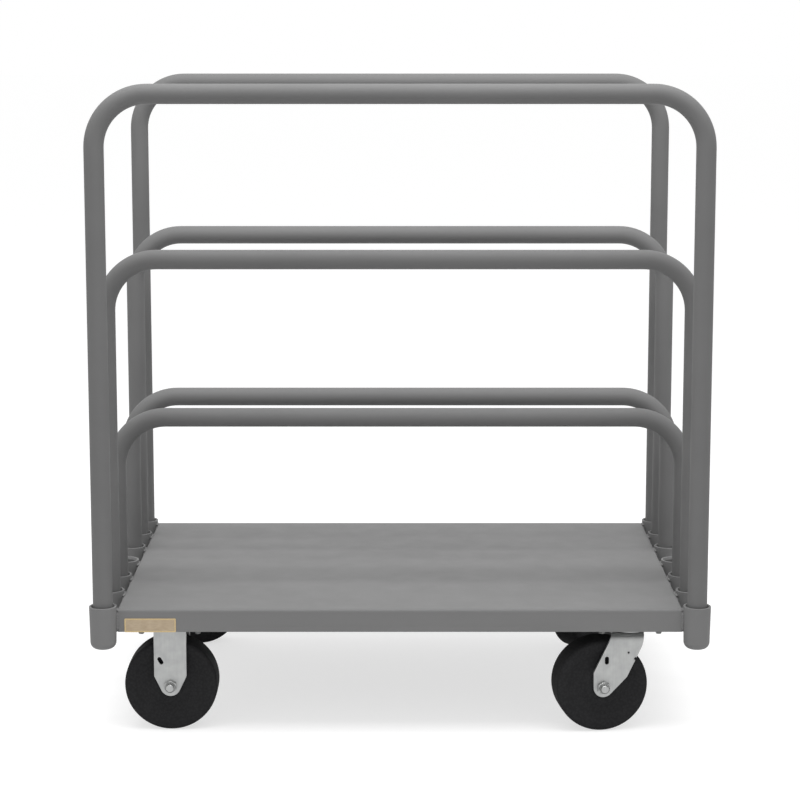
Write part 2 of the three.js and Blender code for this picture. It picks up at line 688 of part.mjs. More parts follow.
const cart = new THREE.Group();
cart.name = 'sheet_goods_cart';
cart.add(meshOf('deck_pan', deckPan(), GREY_PAINT));
cart.add(meshOf('caster_bolster_left', bolster(-CASTER_X), GREY_PAINT));
cart.add(meshOf('caster_bolster_right', bolster(CASTER_X), GREY_PAINT));
cart.add(meshOf('deck_rib', deckRib(), GREY_PAINT));
cart.add(meshOf('label_plate', labelPlate(), TAN_LABEL));
cart.add(socketRow('left', -1));
cart.add(socketRow('right', 1));
cart.add(dividerRow());
cart.add(rigidCaster('rigid_front', -CASTER_Y));
cart.add(rigidCaster('rigid_rear', CASTER_Y));
cart.add(swivelCaster('swivel_front', -CASTER_Y, SWIVEL_YAW_FRONT));
cart.add(swivelCaster('swivel_rear', CASTER_Y, SWIVEL_YAW_REAR));

export default cart;
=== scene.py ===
# %% [markdown]
# # A sheet goods cart, finished for its portrait
# The cart is a welded steel deck on four casters. Six bent tube hoops stand in cups along both
# ends of the deck and keep boards and panels apart on edge. The engineered solids are loaded as a
# fixed frame. Each one is then covered by a finished piece of the same size: rolled edges, weld
# beads, folded forks, chamfered nuts, and a surface that was painted, plated or moulded.

# %% Load the frame
import json
from math import acos, atan2, ceil, cos, pi, radians, sin, sqrt, tan

import bmesh
import bpy
from mathutils import Matrix, Vector


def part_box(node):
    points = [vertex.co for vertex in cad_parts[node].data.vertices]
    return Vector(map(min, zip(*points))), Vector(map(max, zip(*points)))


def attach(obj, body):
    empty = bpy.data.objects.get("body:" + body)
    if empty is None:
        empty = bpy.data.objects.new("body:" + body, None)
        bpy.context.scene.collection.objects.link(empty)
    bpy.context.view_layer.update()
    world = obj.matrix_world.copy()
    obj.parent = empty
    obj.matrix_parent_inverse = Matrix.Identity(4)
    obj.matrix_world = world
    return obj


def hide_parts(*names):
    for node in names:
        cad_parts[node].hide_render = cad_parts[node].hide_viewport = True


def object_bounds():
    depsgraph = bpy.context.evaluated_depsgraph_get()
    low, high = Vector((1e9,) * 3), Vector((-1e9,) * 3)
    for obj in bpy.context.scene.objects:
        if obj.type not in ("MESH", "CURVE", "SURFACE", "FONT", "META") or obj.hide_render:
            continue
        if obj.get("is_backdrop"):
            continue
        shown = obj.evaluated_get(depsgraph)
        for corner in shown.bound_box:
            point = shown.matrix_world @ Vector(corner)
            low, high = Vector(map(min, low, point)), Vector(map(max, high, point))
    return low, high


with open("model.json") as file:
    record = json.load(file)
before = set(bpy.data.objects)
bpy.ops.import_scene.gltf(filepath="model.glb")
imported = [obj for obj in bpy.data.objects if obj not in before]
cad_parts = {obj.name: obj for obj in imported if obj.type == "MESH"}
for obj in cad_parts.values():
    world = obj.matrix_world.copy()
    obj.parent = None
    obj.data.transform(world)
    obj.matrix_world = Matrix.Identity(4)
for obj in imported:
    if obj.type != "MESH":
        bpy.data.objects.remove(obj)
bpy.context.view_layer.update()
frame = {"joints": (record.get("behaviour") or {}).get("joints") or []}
joints = {joint["name"]: joint for joint in frame["joints"]}
MM = 0.001

# %% [markdown]
# ## The camera
# The photograph was taken square to the long side, from a little above the top rail and from a few
# metres away, so the rails behind show just over the ones in front. A long lens far off and a wide
# lens close by can frame the same cart. But only one distance makes the rear hoops look as much
# narrower than the front ones as they do in the photograph, and that one was chosen. A small lens
# shift replaces part of the tilt, which keeps the posts nearer upright, as a product photographer does.

# %% Camera
IMAGE_PIXELS = 800
FOCAL_PIXELS = 2180
SENSOR_WIDTH = 36
CAMERA_PLACE = Vector((0, -3.723, 1.1593))
CAMERA_TILT = radians(8.34)
LENS_SHIFT = -0.08

camera_data = bpy.data.cameras.new("portrait_camera")
camera_data.sensor_width = SENSOR_WIDTH
camera_data.lens = FOCAL_PIXELS / IMAGE_PIXELS * SENSOR_WIDTH
camera_data.shift_y = LENS_SHIFT
camera = bpy.data.objects.new("portrait_camera", camera_data)
camera.location = CAMERA_PLACE
camera.rotation_euler = (pi / 2 - CAMERA_TILT, 0, 0)
bpy.context.scene.collection.objects.link(camera)
bpy.context.scene.camera = camera
bpy.context.scene.view_settings.view_transform = "Standard"
print("lens:", round(camera_data.lens, 1), "mm")

# %% [markdown]
# ## Colours and nodes
# A listed colour is an sRGB value, and a shader works in linear light, so one function turns
# a hex code into linear numbers. Node trees are long to write out by hand. One more function adds a
# node, sets its values and links its inputs, whatever kind of node it is.

# %% Two helpers for materials
def linear(hex_code):
    channels = [int(hex_code[i:i + 2], 16) / 255 for i in (0, 2, 4)]
    lit = [c / 12.92 if c <= 0.04045 else ((c + 0.055) / 1.055) ** 2.4 for c in channels]
    return (*lit, 1)


def add_node(tree, kind, settings=None, links=None):
    node = tree.nodes.new(kind)
    for name, value in (settings or {}).items():
        if isinstance(name, str) and hasattr(node, name):
            setattr(node, name, value)
        else:
            node.inputs[name].default_value = value
    for name, source in (links or {}).items():
        tree.links.new(source, node.inputs[name])
    return node


def empty_tree(owner):
    owner.use_nodes = True
    owner.node_tree.nodes.clear()
    return owner.node_tree


print("mid grey, linear:", [round(c, 3) for c in linear("808080")])

# %% [markdown]
# ## Light and floor
# The cart stands in a white studio under one softbox, hung above it and a little to the front. It is
# near enough that the top rails get more of its light than the deck, and the front more than the rear.
# A bright room could make the white background, but it would bleach the paint as well. So the room
# lights the cart at a plain level, brighter overhead than at the walls, and only what the camera and
# reflections see of it is white. The floor does the same: part of its white is a glow, and the rest
# is lit paint that takes the cart's shadow.

# %% Studio
WALL_LEVEL = 0.45
CEILING_LEVEL = 0.97
SEEN_WHITE = linear("ffffff")
FLOOR_PAINT = linear("aeaeae")
FLOOR_BOUNCE = linear("dcdcdc")
FLOOR_GLOW = 0.66
FLOOR_SIZE = 80
FLOOR_DROP = 0.3 * MM
FLOOR_CELLS = 8
SOFTBOX_PLACE = Vector((0, -0.65, 3.1))
SOFTBOX_AIM = Vector((0, -0.3, 0.5))
SOFTBOX_SIZE = (3.2, 1.8)
SOFTBOX_WATTS = 91


def seen_share(tree):
    """1 for camera, mirror and glass rays, 0 for rays that only carry light."""
    path = add_node(tree, "ShaderNodeLightPath")
    rays = [path.outputs[f"Is {kind} Ray"] for kind in ("Camera", "Glossy", "Transmission")]
    first = add_node(tree, "ShaderNodeMath", {"operation": "MAXIMUM"}, {0: rays[0], 1: rays[1]})
    both = {0: first.outputs[0], 1: rays[2]}
    return add_node(tree, "ShaderNodeMath", {"operation": "MAXIMUM"}, both).outputs[0]


world = bpy.data.worlds.new("white_studio")
bpy.context.scene.world = world
tree = empty_tree(world)
towards = add_node(tree, "ShaderNodeTexCoord").outputs["Generated"]
height = add_node(tree, "ShaderNodeSeparateXYZ", None, {0: towards}).outputs["Z"]
level = add_node(tree, "ShaderNodeMapRange", {3: WALL_LEVEL, 4: CEILING_LEVEL}, {0: height})
room = add_node(tree, "ShaderNodeBackground", {"Color": SEEN_WHITE}, {"Strength": level.outputs[0]})
white = add_node(tree, "ShaderNodeBackground", {"Color": SEEN_WHITE})
sky = add_node(tree, "ShaderNodeMixShader", None,
               {0: seen_share(tree), 1: room.outputs[0], 2: white.outputs[0]})
add_node(tree, "ShaderNodeOutputWorld", None, {"Surface": sky.outputs[0]})

softbox_data = bpy.data.lights.new("overhead_softbox", "AREA")
softbox_data.shape = "RECTANGLE"
softbox_data.size, softbox_data.size_y = SOFTBOX_SIZE
softbox_data.energy = SOFTBOX_WATTS
softbox = bpy.data.objects.new("overhead_softbox", softbox_data)
softbox.location = SOFTBOX_PLACE
softbox.rotation_euler = (SOFTBOX_AIM - SOFTBOX_PLACE).to_track_quat("-Z", "Y").to_euler()
softbox.visible_camera = False
bpy.context.scene.collection.objects.link(softbox)

floor_paint = bpy.data.materials.new("white_studio_floor")
tree = empty_tree(floor_paint)
seen = seen_share(tree)
tone = add_node(tree, "ShaderNodeMix", {"data_type": "RGBA", 6: FLOOR_BOUNCE, 7: FLOOR_PAINT}, {0: seen})
matt = add_node(tree, "ShaderNodeBsdfDiffuse", None, {"Color": tone.outputs[2]})
level = add_node(tree, "ShaderNodeMath", {"operation": "MULTIPLY", 1: FLOOR_GLOW}, {0: seen})
glow = add_node(tree, "ShaderNodeEmission", {"Color": SEEN_WHITE}, {"Strength": level.outputs[0]})
surface = add_node(tree, "ShaderNodeAddShader", None, {0: matt.outputs[0], 1: glow.outputs[0]})
add_node(tree, "ShaderNodeOutputMaterial", None, {"Surface": surface.outputs[0]})

bm = bmesh.new()
bmesh.ops.create_grid(bm, x_segments=FLOOR_CELLS, y_segments=FLOOR_CELLS, size=FLOOR_SIZE / 2)
floor_mesh = bpy.data.meshes.new("studio_floor")
bm.to_mesh(floor_mesh)
bm.free()
floor_mesh.materials.append(floor_paint)
floor = bpy.data.objects.new("studio_floor", floor_mesh)
floor.location.z = -FLOOR_DROP
bpy.context.scene.collection.objects.link(floor)
floor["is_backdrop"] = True
print("floor:", FLOOR_SIZE, "m square")

# %% [markdown]
# ## Grey powder coat
# Deck, cups and hoops are sprayed with dry polyester powder and baked. The powder melts into a
# dull skin with a faint orange peel, and it is never quite the same thickness, so the grey drifts
# a little over a hand's width. Flat grey would look like plastic. Three noises at three real sizes
# give the peel, the change of gloss and the drift. A real peel is about 2 mm and would be lost at
# this distance, so it is drawn at 5 mm. The hoops get a copy of the coat painted a shade darker
# than the deck's. This is painted shade, which keeps the lit rail tops from outshining the deck.

# %% Powder coat
PEEL_SIZE = 5 * MM
PEEL_DEPTH = 0.3 * MM
GLOSS_PATCH = 45 * MM
DRIFT_SIZE = 110 * MM
SPRAY_STRETCH = (0.3, 1, 1)
NOISE_LOW, NOISE_HIGH = 0.3, 0.7


def noise_at(tree, place, feature_size, detail):
    """Cloudy noise with lumps of a real size."""
    return add_node(tree, "ShaderNodeTexNoise", {"Scale": 1 / feature_size, "Detail": detail},
                    {"Vector": place}).outputs["Fac"]


def spread(tree, value, low, high):
    """The middle of a noise, stretched to run from low to high."""
    return add_node(tree, "ShaderNodeMapRange", {1: NOISE_LOW, 2: NOISE_HIGH, 3: low, 4: high},
                    {0: value}).outputs[0]


def two_tone(tree, share, first, second):
    return add_node(tree, "ShaderNodeMix", {"data_type": "RGBA", 6: linear(first), 7: linear(second)},
                    {0: share}).outputs[2]


def bumped(tree, height, strength, distance):
    return add_node(tree, "ShaderNodeBump", {"Strength": strength, "Distance": distance},
                    {"Height": height}).outputs[0]


def start_finish(name):
    """An empty material with its place on the piece, in metres."""
    finish = bpy.data.materials.new(name)
    tree = empty_tree(finish)
    return finish, tree, add_node(tree, "ShaderNodeTexCoord").outputs["Object"]


def end_finish(tree, settings, links):
    shader = add_node(tree, "ShaderNodeBsdfPrincipled", settings, links)
    add_node(tree, "ShaderNodeOutputMaterial", None, {"Surface": shader.outputs[0]})


def make_powder_coat(name, dark, light):
    # Baked polyester: nearly matt, a faint sheen that widens over the rounded edges, no sparkle
    finish, tree, place = start_finish(name)
    along = add_node(tree, "ShaderNodeMapping", {"Scale": SPRAY_STRETCH}, {"Vector": place}).outputs[0]
    drift = spread(tree, noise_at(tree, along, DRIFT_SIZE, detail=3), 0, 1)
    gloss = spread(tree, noise_at(tree, place, GLOSS_PATCH, detail=3), 0.5, 0.62)
    peel = noise_at(tree, place, PEEL_SIZE, detail=1)
    end_finish(tree, {"IOR": 1.5, "Specular IOR Level": 0.08}, {
        "Base Color": two_tone(tree, drift, dark, light),
        "Roughness": gloss,
        "Normal": bumped(tree, peel, 0.06, PEEL_DEPTH),
    })
    return finish


powder_coat = make_powder_coat("grey_polyester_powder_coat", "767676", "7a7a7a")
# Painted shade: the hoops' copy of the coat is set a shade darker than the deck's, so the lit rail tops
# don't outshine the deck
hoop_coat_painted_darker = make_powder_coat("grey_polyester_hoop_coat", "6d6d6d", "717171")
print("finishes:", powder_coat.name, hoop_coat_painted_darker.name)

# %% [markdown]
# ## Bright zinc plate
# Forks, plates, bolts and nuts are stamped steel, zinc plated in a barrel. Zinc is a bluish white
# metal. The plating bath leaves clouds, and the rolled sheet under it has faint straight lines. A
# stretched noise gives the lines. They are really hairlines, and are drawn 1.5 mm wide to show.

# %% Zinc plate
CLOUD_SIZE = 14 * MM
ROLL_LINE = 1.5 * MM
ROLL_DEPTH = 0.1 * MM
ROLL_STRETCH = (1, 1, 0.04)


def make_zinc():
    # Electroplate: bright but not a mirror, patchy in gloss, slightly cool
    finish, tree, place = start_finish("bright_zinc_electroplate")
    cloud = spread(tree, noise_at(tree, place, CLOUD_SIZE, detail=4), 0, 1)
    lines_at = add_node(tree, "ShaderNodeMapping", {"Scale": ROLL_STRETCH}, {"Vector": place}).outputs[0]
    lines = noise_at(tree, lines_at, ROLL_LINE, detail=2)
    end_finish(tree, {"Metallic": 1}, {
        "Base Color": two_tone(tree, cloud, "a1a2a2", "acadac"),
        "Roughness": spread(tree, lines, 0.42, 0.56),
        "Normal": bumped(tree, lines, 0.05, ROLL_DEPTH),
    })
    return finish


zinc = make_zinc()
print("finish:", zinc.name)

# %% [markdown]
# ## Oiled ground steel
# Bushings, rollers and balls run on each other, so they are ground and left bare under a film of
# oil. The eye sees a darker, warmer grey than zinc, with fine turning marks.

# %% Ground steel
TURNING_MARK = 1.2 * MM


def make_ground_steel():
    # Ground bearing steel: dark, fairly sharp reflections, brownish where the oil gathers
    finish, tree, place = start_finish("oiled_ground_steel")
    oil = spread(tree, noise_at(tree, place, CLOUD_SIZE, detail=3), 0, 1)
    marks = noise_at(tree, place, TURNING_MARK, detail=1)
    end_finish(tree, {"Metallic": 1}, {
        "Base Color": two_tone(tree, oil, "8f8e8b", "79756d"),
        "Roughness": spread(tree, marks, 0.24, 0.36),
    })
    return finish


ground_steel = make_ground_steel()
print("finish:", ground_steel.name)

# %% [markdown]
# ## Moulded phenolic
# The wheels are chopped cotton cloth soaked in phenolic resin and pressed hot in a mould. The
# result is a near black, hard and dull, with flecks of cloth under a thin resin skin. Cell noise
# draws the flecks, a few millimetres each.

# %% Phenolic
CLOTH_FLECK = 4 * MM
FLECK_DEPTH = 0.2 * MM
SKIN_PATCH = 30 * MM


def make_phenolic():
    # Pressed resin: black, low sheen, flecks just lighter than the resin between them
    finish, tree, place = start_finish("pressed_cloth_phenolic")
    flecks = add_node(tree, "ShaderNodeTexVoronoi", {"Scale": 1 / CLOTH_FLECK}, {"Vector": place})
    shade = spread(tree, flecks.outputs["Distance"], 0, 1)
    skin = noise_at(tree, place, SKIN_PATCH, detail=3)
    end_finish(tree, {"IOR": 1.6, "Specular IOR Level": 0.02}, {
        "Base Color": two_tone(tree, shade, "2e2e2f", "29292a"),
        "Roughness": spread(tree, skin, 0.6, 0.75),
        "Normal": bumped(tree, flecks.outputs["Distance"], 0.08, FLECK_DEPTH),
    })
    return finish


phenolic = make_phenolic()
print("finish:", phenolic.name)

# %% [markdown]
# ## Tan label stock
# A strip of tan varnished card with a gilt edge is stuck to the front flange. It is left bare here.
# Its varnish has yellowed unevenly and its fibres show as fine streaks along the strip.

# %% Label stock
FIBRE_SIZE = 2 * MM
FIBRE_DEPTH = 0.1 * MM
FIBRE_STRETCH = (0.25, 1, 1)
STAIN_SIZE = 16 * MM
STREAK_LOW, STREAK_HIGH = 0.7, 1.3


def make_label_stock():
    # Varnished card: warm tan, streaked, half matt
    finish, tree, place = start_finish("varnished_tan_card")
    along = add_node(tree, "ShaderNodeMapping", {"Scale": FIBRE_STRETCH}, {"Vector": place}).outputs[0]
    fibre = noise_at(tree, along, FIBRE_SIZE, detail=3)
    stain = noise_at(tree, place, STAIN_SIZE, detail=2)
    both = add_node(tree, "ShaderNodeMath", {"operation": "ADD"}, {0: fibre, 1: stain})
    share = add_node(tree, "ShaderNodeMapRange", {1: STREAK_LOW, 2: STREAK_HIGH, 3: 0, 4: 1},
                     {0: both.outputs[0]})
    end_finish(tree, {"Specular IOR Level": 0.3}, {
        "Base Color": two_tone(tree, share.outputs[0], "a6957d", "b7a68e"),
        "Roughness": spread(tree, fibre, 0.5, 0.65),
        "Normal": bumped(tree, fibre, 0.1, FIBRE_DEPTH),
    })
    return finish


def make_border_ink():
    # A thin gilt ink line: lighter and yellower than the card, worn where it was printed dry
    finish, tree, place = start_finish("gilt_border_ink")
    wear = spread(tree, noise_at(tree, place, FIBRE_SIZE, detail=3), 0, 1)
    end_finish(tree, {"Roughness": 0.5, "Specular IOR Level": 0.3}, {
        "Base Color": two_tone(tree, wear, "bba57c", "d2bb8e"),
    })
    return finish


label_stock = make_label_stock()
border_ink = make_border_ink()
print("finishes:", label_stock.name, border_ink.name)

# %% [markdown]
# ## From mesh to piece
# Every finished piece goes through one function. It turns the edited mesh into an object, keeps
# hard edges hard and round ones smooth, gives it its finish, ties it to the body it moves with,
# and hides the solid it stands for. Weighted normals let the large flat faces decide the shading, so
# that a small rounded edge doesn't smear a gradient over a whole panel.

# %% The piece function
CREASE = radians(38)


def add_piece(name, bm, finish, body, stands_for=None):
    bmesh.ops.recalc_face_normals(bm, faces=bm.faces)
    open_edges = sum(not edge.is_manifold for edge in bm.edges)
    mesh = bpy.data.meshes.new(name)
    bm.to_mesh(mesh)
    bm.free()
    mesh.polygons.foreach_set("use_smooth", [True] * len(mesh.polygons))
    mesh.set_sharp_from_angle(angle=CREASE)
    mesh.materials.append(finish)
    piece = bpy.data.objects.new(name, mesh)
    bpy.context.scene.collection.objects.link(piece)
    shading = piece.modifiers.new("flat_faces_lead", "WEIGHTED_NORMAL")
    shading.keep_sharp = True
    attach(piece, body)
    if stands_for:
        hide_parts(stands_for)
    if open_edges:
        print("  open edges in", name, open_edges)
    return piece


# %% [markdown]
# ## Rounded outlines and swept rings
# Three small tools make almost every shape here. One rounds the corners of an outline with true
# arcs. One turns a profile about an axis, as a lathe does, and can put a hexagon in the profile for
# a nut. One draws a ring of points along a path, for tubes and weld beads.

# %% Outline, lathe and sweep
ARC_STEPS = 6
CIRCLE_SIDES = 24
LATHE_SIDES = 48
TINY = 1e-9


def rounded(corners, steps=ARC_STEPS, closed=True):
    """Corners are (x, y) or (x, y, radius). A corner with a radius becomes an arc."""
    points = []
    for i, corner in enumerate(corners):
        here = Vector(corner[:2])
        radius = corner[2] if len(corner) > 2 else 0
        inner = closed or 0 < i < len(corners) - 1
        if radius < TINY or not inner:
            points.append(here)
            continue
        back = (Vector(corners[i - 1][:2]) - here).normalized()
        ahead = (Vector(corners[(i + 1) % len(corners)][:2]) - here).normalized()
        half = acos(max(-1, min(1, back.dot(ahead)))) / 2
        centre = here + (back + ahead).normalized() * radius / sin(half)
        first = here + back * radius / tan(half) - centre
        last = here + ahead * radius / tan(half) - centre
        start = atan2(first.y, first.x)
        turn = (atan2(last.y, last.x) - start + pi) % (2 * pi) - pi
        for step in range(steps + 1):
            angle = start + turn * step / steps
            points.append(centre + radius * Vector((cos(angle), sin(angle))))
    return points


def rectangle(length, width, radius):
    x, y = length / 2, width / 2
    return rounded([(-x, -y, radius), (x, -y, radius), (x, y, radius), (-x, y, radius)])


def circle(x, y, radius, sides=CIRCLE_SIDES):
    return [Vector((x + radius * cos(2 * pi * i / sides), y + radius * sin(2 * pi * i / sides)))
            for i in range(sides)]


def skin(bm, rings, closed=False):
    """Faces between rings of as many points. A ring of one repeated point is a pole."""
    for low, high in zip(rings, rings[1:] + (rings[:1] if closed else [])):
        for i in range(len(low)):
            j = (i + 1) % len(low)
            corners = list(dict.fromkeys((low[i], low[j], high[j], high[i])))
            if len(corners) > 2:
                bm.faces.new(corners)


def lathe(bm, profile, place=None, sides=LATHE_SIDES, closed=False):
    """Turns (radius, height) points about Z. A point with a third value is a hexagon ring."""
    place = place or Matrix()
    rings = []
    for radius, height, *hexagonal in profile:
        if radius < TINY:
            rings.append([bm.verts.new(place @ Vector((0, 0, height)))] * sides)
            continue
        ring = []
        for i in range(sides):
            angle = 2 * pi * i / sides
            side = (angle + pi / 6) % (pi / 3) - pi / 6
            reach = radius / cos(pi / 6 - abs(side)) if hexagonal else radius
            ring.append(bm.verts.new(place @ Vector((reach * cos(angle), reach * sin(angle), height))))
        rings.append(ring)
    skin(bm, rings, closed)
    return bm


def sweep(bm, path, radii, across, sides, flat=1.0, capped=True):
    """A tube along a path that lies in the plane square to across."""
    rings = []
    for i, (point, radius) in enumerate(zip(path, radii)):
        along = (path[min(i + 1, len(path) - 1)] - path[max(i - 1, 0)]).normalized()
        up = along.cross(across).normalized()
        ring = []
        for k in range(sides):
            angle = 2 * pi * k / sides
            ring.append(bm.verts.new(point + radius * (cos(angle) * across + flat * sin(angle) * up)))
        rings.append(ring)
    skin(bm, rings)
    if capped:
        bm.faces.new(rings[0])
        bm.faces.new(rings[-1])
    return rings


print("a rounded square has", len(rectangle(1, 1, 0.1)), "points")

# %% [markdown]
# ## The deck pan
# The deck is one sheet of 12 gauge steel with its four edges bent down on a press brake. Its
# corners are welded and ground round. It could be a cube with a bevel, but then it would be solid
# from below. Instead a section is carried round a rounded rectangle: across the top, over the bend,
# down the flange, round its lip, and back along the inside.

# %% Deck pan
SHEET = 2.66 * MM
BEND_RADIUS = 4.5 * MM
TOP_INSET = 3 * BEND_RADIUS
LIP_ROUND = 0.45 * SHEET
PLAN_CORNER = 3 * MM
LEAST_CORNER = 0.4 * MM
deck_low, deck_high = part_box("deck_pan")
deck_length = deck_high.x - deck_low.x
deck_width = deck_high.y - deck_low.y
deck_top = deck_high.z
flange_bottom = deck_low.z


def pan_section():
    """(inset, height) from the middle of the top, over the bend, round the lip and back inside."""
    return rounded([
        (TOP_INSET, deck_top), (0, deck_top, BEND_RADIUS),
        (0, flange_bottom, LIP_ROUND), (SHEET, flange_bottom, LIP_ROUND),
        (SHEET, deck_top - SHEET, BEND_RADIUS - SHEET), (TOP_INSET, deck_top - SHEET),
    ], closed=False)


def make_deck():
    bm = bmesh.new()
    rings = []
    for inset, height in pan_section():
        radius = max(PLAN_CORNER - inset, LEAST_CORNER)
        outline = rectangle(deck_length - 2 * inset, deck_width - 2 * inset, radius)
        rings.append([bm.verts.new((p.x, p.y, height)) for p in outline])
    skin(bm, rings)
    bm.faces.new(rings[0])
    bm.faces.new(rings[-1])
    return add_piece("painted_deck", bm, powder_coat, "cart_frame", "deck_pan")


deck = make_deck()
print("deck:", len(deck.data.polygons), "faces")

# %% [markdown]
# ## Plates cut from sheet
# Bolsters, caster plates, fork legs and the label all begin as flat blanks. A 2D curve is made for
# this: it fills its outline, leaves its holes open, gets a thickness and breaks its sharp rims. The
# filled curve is then turned into a mesh and its seams are merged.

# %% The blank function
SAME_PLACE = 0.01 * MM


def cut_blank(outline, thickness, rim, holes=()):
    """A flat blank in the XY plane, with its middle at height 0."""
    curve = bpy.data.curves.new("blank", "CURVE")
    curve.dimensions = "2D"
    curve.fill_mode = "BOTH"
    curve.extrude = thickness / 2 - rim
    curve.bevel_depth = rim
    curve.bevel_resolution = 1
    curve.offset = -rim
    for loop in (outline, *holes):
        spline = curve.splines.new("POLY")
        spline.points.add(len(loop) - 1)
        for point, corner in zip(spline.points, loop):
            point.co = (corner.x, corner.y, 0, 1)
        spline.use_cyclic_u = True
    holder = bpy.data.objects.new("blank", curve)
    bpy.context.scene.collection.objects.link(holder)
    graph = bpy.context.evaluated_depsgraph_get()
    mesh = bpy.data.meshes.new_from_object(holder.evaluated_get(graph))
    bm = bmesh.new()
    bm.from_mesh(mesh)
    bmesh.ops.remove_doubles(bm, verts=bm.verts, dist=SAME_PLACE)
    bpy.data.objects.remove(holder)
    bpy.data.curves.remove(curve)
    bpy.data.meshes.remove(mesh)
    return bm


def moved(blank, place):
    bmesh.ops.transform(blank, matrix=place, verts=blank.verts)
    return blank


def put(bm, blank, place):
    """Moves a finished blank to its place and adds it to a growing piece."""
    mesh = bpy.data.meshes.new("moved")
    moved(blank, place).to_mesh(mesh)
    blank.free()
    bm.from_mesh(mesh)
    bpy.data.meshes.remove(mesh)


trial = cut_blank(rectangle(100 * MM, 50 * MM, 5 * MM), 5 * MM, 0.5 * MM, [circle(0, 0, 10 * MM)])
print("trial blank, mm:", [round(max(v.co[i] for v in trial.verts) * 2 / MM, 2) for i in range(3)],
      "open edges", sum(not e.is_manifold for e in trial.edges))
trial.free()

# %% [markdown]
# ## Under the deck
# Two thick bolsters spread the load of the casters, and a hat-shaped rib stops the deck from
# sagging between them. They are painted with the deck. The rib's section is drawn once with its
# bends rounded, and is given its length as if it were a very thick blank.

# %% Bolsters, rib and label
PLATE_RIM = 0.6 * MM
BOLSTER_CORNER = 6 * MM
RIB_WIDTH = 60 * MM
RIB_BEND = 4 * MM
RIB_RIM = 0.3 * MM
BOLT_HOLE = 5.05 * MM
HOLE_SIDES = 16
BOLT_SPACING = (92.1 * MM, 66.7 * MM)
LABEL_CORNER = 1.5 * MM
LABEL_RIM = 0.2 * MM
LABEL_BORDER = 2.2 * MM
BORDER_PRINT = 0.06 * MM
UPRIGHT = Matrix.Rotation(pi / 2, 4, "X")
UP = Vector((0, 0, 1))
BOLT_PLACES = [Vector((x * BOLT_SPACING[0] / 2, y * BOLT_SPACING[1] / 2))
               for x in (-1, 1) for y in (-1, 1)]


def bolt_holes(y=0):
    return [circle(p.x, y + p.y, BOLT_HOLE, HOLE_SIDES) for p in BOLT_PLACES]


def middle_of(node):
    low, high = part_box(node)
    return (low + high) / 2, high - low


def make_bolster(side):
    node = f"caster_bolster_{side}"
    middle, size = middle_of(node)
    caster = "rigid" if side == "left" else "swivel"
    holes = []
    for end in ("front", "rear"):
        holes += bolt_holes(joints[f"rigid_{end}_wheel_spin"]["pos_m"][1])
    blank = cut_blank(rectangle(size.x, size.y, BOLSTER_CORNER), size.z, PLATE_RIM, holes)
    bm = moved(blank, Matrix.Translation(middle))
    return add_piece(f"painted_{caster}_bolster", bm, powder_coat, "cart_frame", node)


def make_rib():
    middle, size = middle_of("deck_rib")
    top = size.z / 2
    foot = size.y / 2
    side = RIB_WIDTH / 2
    outline = rounded([
        (-foot, top), (-foot, top - SHEET), (-side, top - SHEET, RIB_BEND - SHEET),
        (-side, -top, RIB_BEND), (side, -top, RIB_BEND), (side, top - SHEET, RIB_BEND - SHEET),
        (foot, top - SHEET), (foot, top), (side - SHEET, top, RIB_BEND),
        (side - SHEET, -top + SHEET, RIB_BEND - SHEET),
        (-side + SHEET, -top + SHEET, RIB_BEND - SHEET), (-side + SHEET, top, RIB_BEND),
    ], steps=4)
    along = Matrix.Rotation(pi / 2, 4, "Z") @ UPRIGHT
    bm = moved(cut_blank(outline, size.x, RIB_RIM), Matrix.Translation(middle) @ along)
    return add_piece("painted_rib", bm, powder_coat, "cart_frame", "deck_rib")


def make_label():
    middle, size = middle_of("label_plate")
    blank = cut_blank(rectangle(size.x, size.z, LABEL_CORNER), size.y, LABEL_RIM)
    bm = moved(blank, Matrix.Translation(middle) @ UPRIGHT)
    return add_piece("bare_label", bm, label_stock, "cart_frame", "label_plate")


def make_label_border():
    """A printed line round the edge: a frame of ink just proud of the card."""
    low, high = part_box("label_plate")
    length, height = high.x - low.x, high.z - low.z
    hole = rectangle(length - 2 * LABEL_BORDER, height - 2 * LABEL_BORDER, LABEL_CORNER / 2)
    edge = rectangle(length, height, LABEL_CORNER)
    blank = cut_blank(edge, 2 * BORDER_PRINT, BORDER_PRINT / 4, [hole])
    middle = Vector(((low.x + high.x) / 2, low.y, (low.z + high.z) / 2))
    bm = moved(blank, Matrix.Translation(middle) @ UPRIGHT)
    return add_piece("label_border", bm, border_ink, "cart_frame")


make_bolster("left")
make_bolster("right")
make_rib()
label = make_label()
make_label_border()
print("label, mm:", [round(side / MM, 1) for side in label.dimensions])

# %% [markdown]
# ## The socket cups
# Each cup is a short pressed steel cup, slightly tapered, with a closed round bottom. Its mouth is
# flared a little so that a hoop finds its way in, and the hoop then stands with a millimetre of
# play. Flare and play show as a dark ring round each post. One profile turned on a lathe gives the
# cup its wall, its rim, its flare and its floor.

# %% Cups
CUP_BORE = 17.1 * MM
CUP_WALL_BOTTOM = 3.7 * MM
CUP_FLOOR = 5 * MM
CUP_FILLET = 11 * MM
CUP_RIM = 0.5 * MM
CUP_FLARE = 1.9 * MM
CUP_FLARE_DEPTH = 4 * MM
FLARE_ROUND = 1 * MM
FLOOR_ROUND = 2 * MM
CUPS_PER_SIDE = 7


def cup_profile(low, high, top_radius):
    bottom = CUP_BORE + CUP_WALL_BOTTOM
    return rounded([
        (0, low), (bottom, low, CUP_FILLET), (top_radius, high, CUP_RIM),
        (CUP_BORE + CUP_FLARE, high, CUP_RIM), (CUP_BORE, high - CUP_FLARE_DEPTH, FLARE_ROUND),
        (CUP_BORE, low + CUP_FLOOR, FLOOR_ROUND), (0, low + CUP_FLOOR),
    ], closed=False)


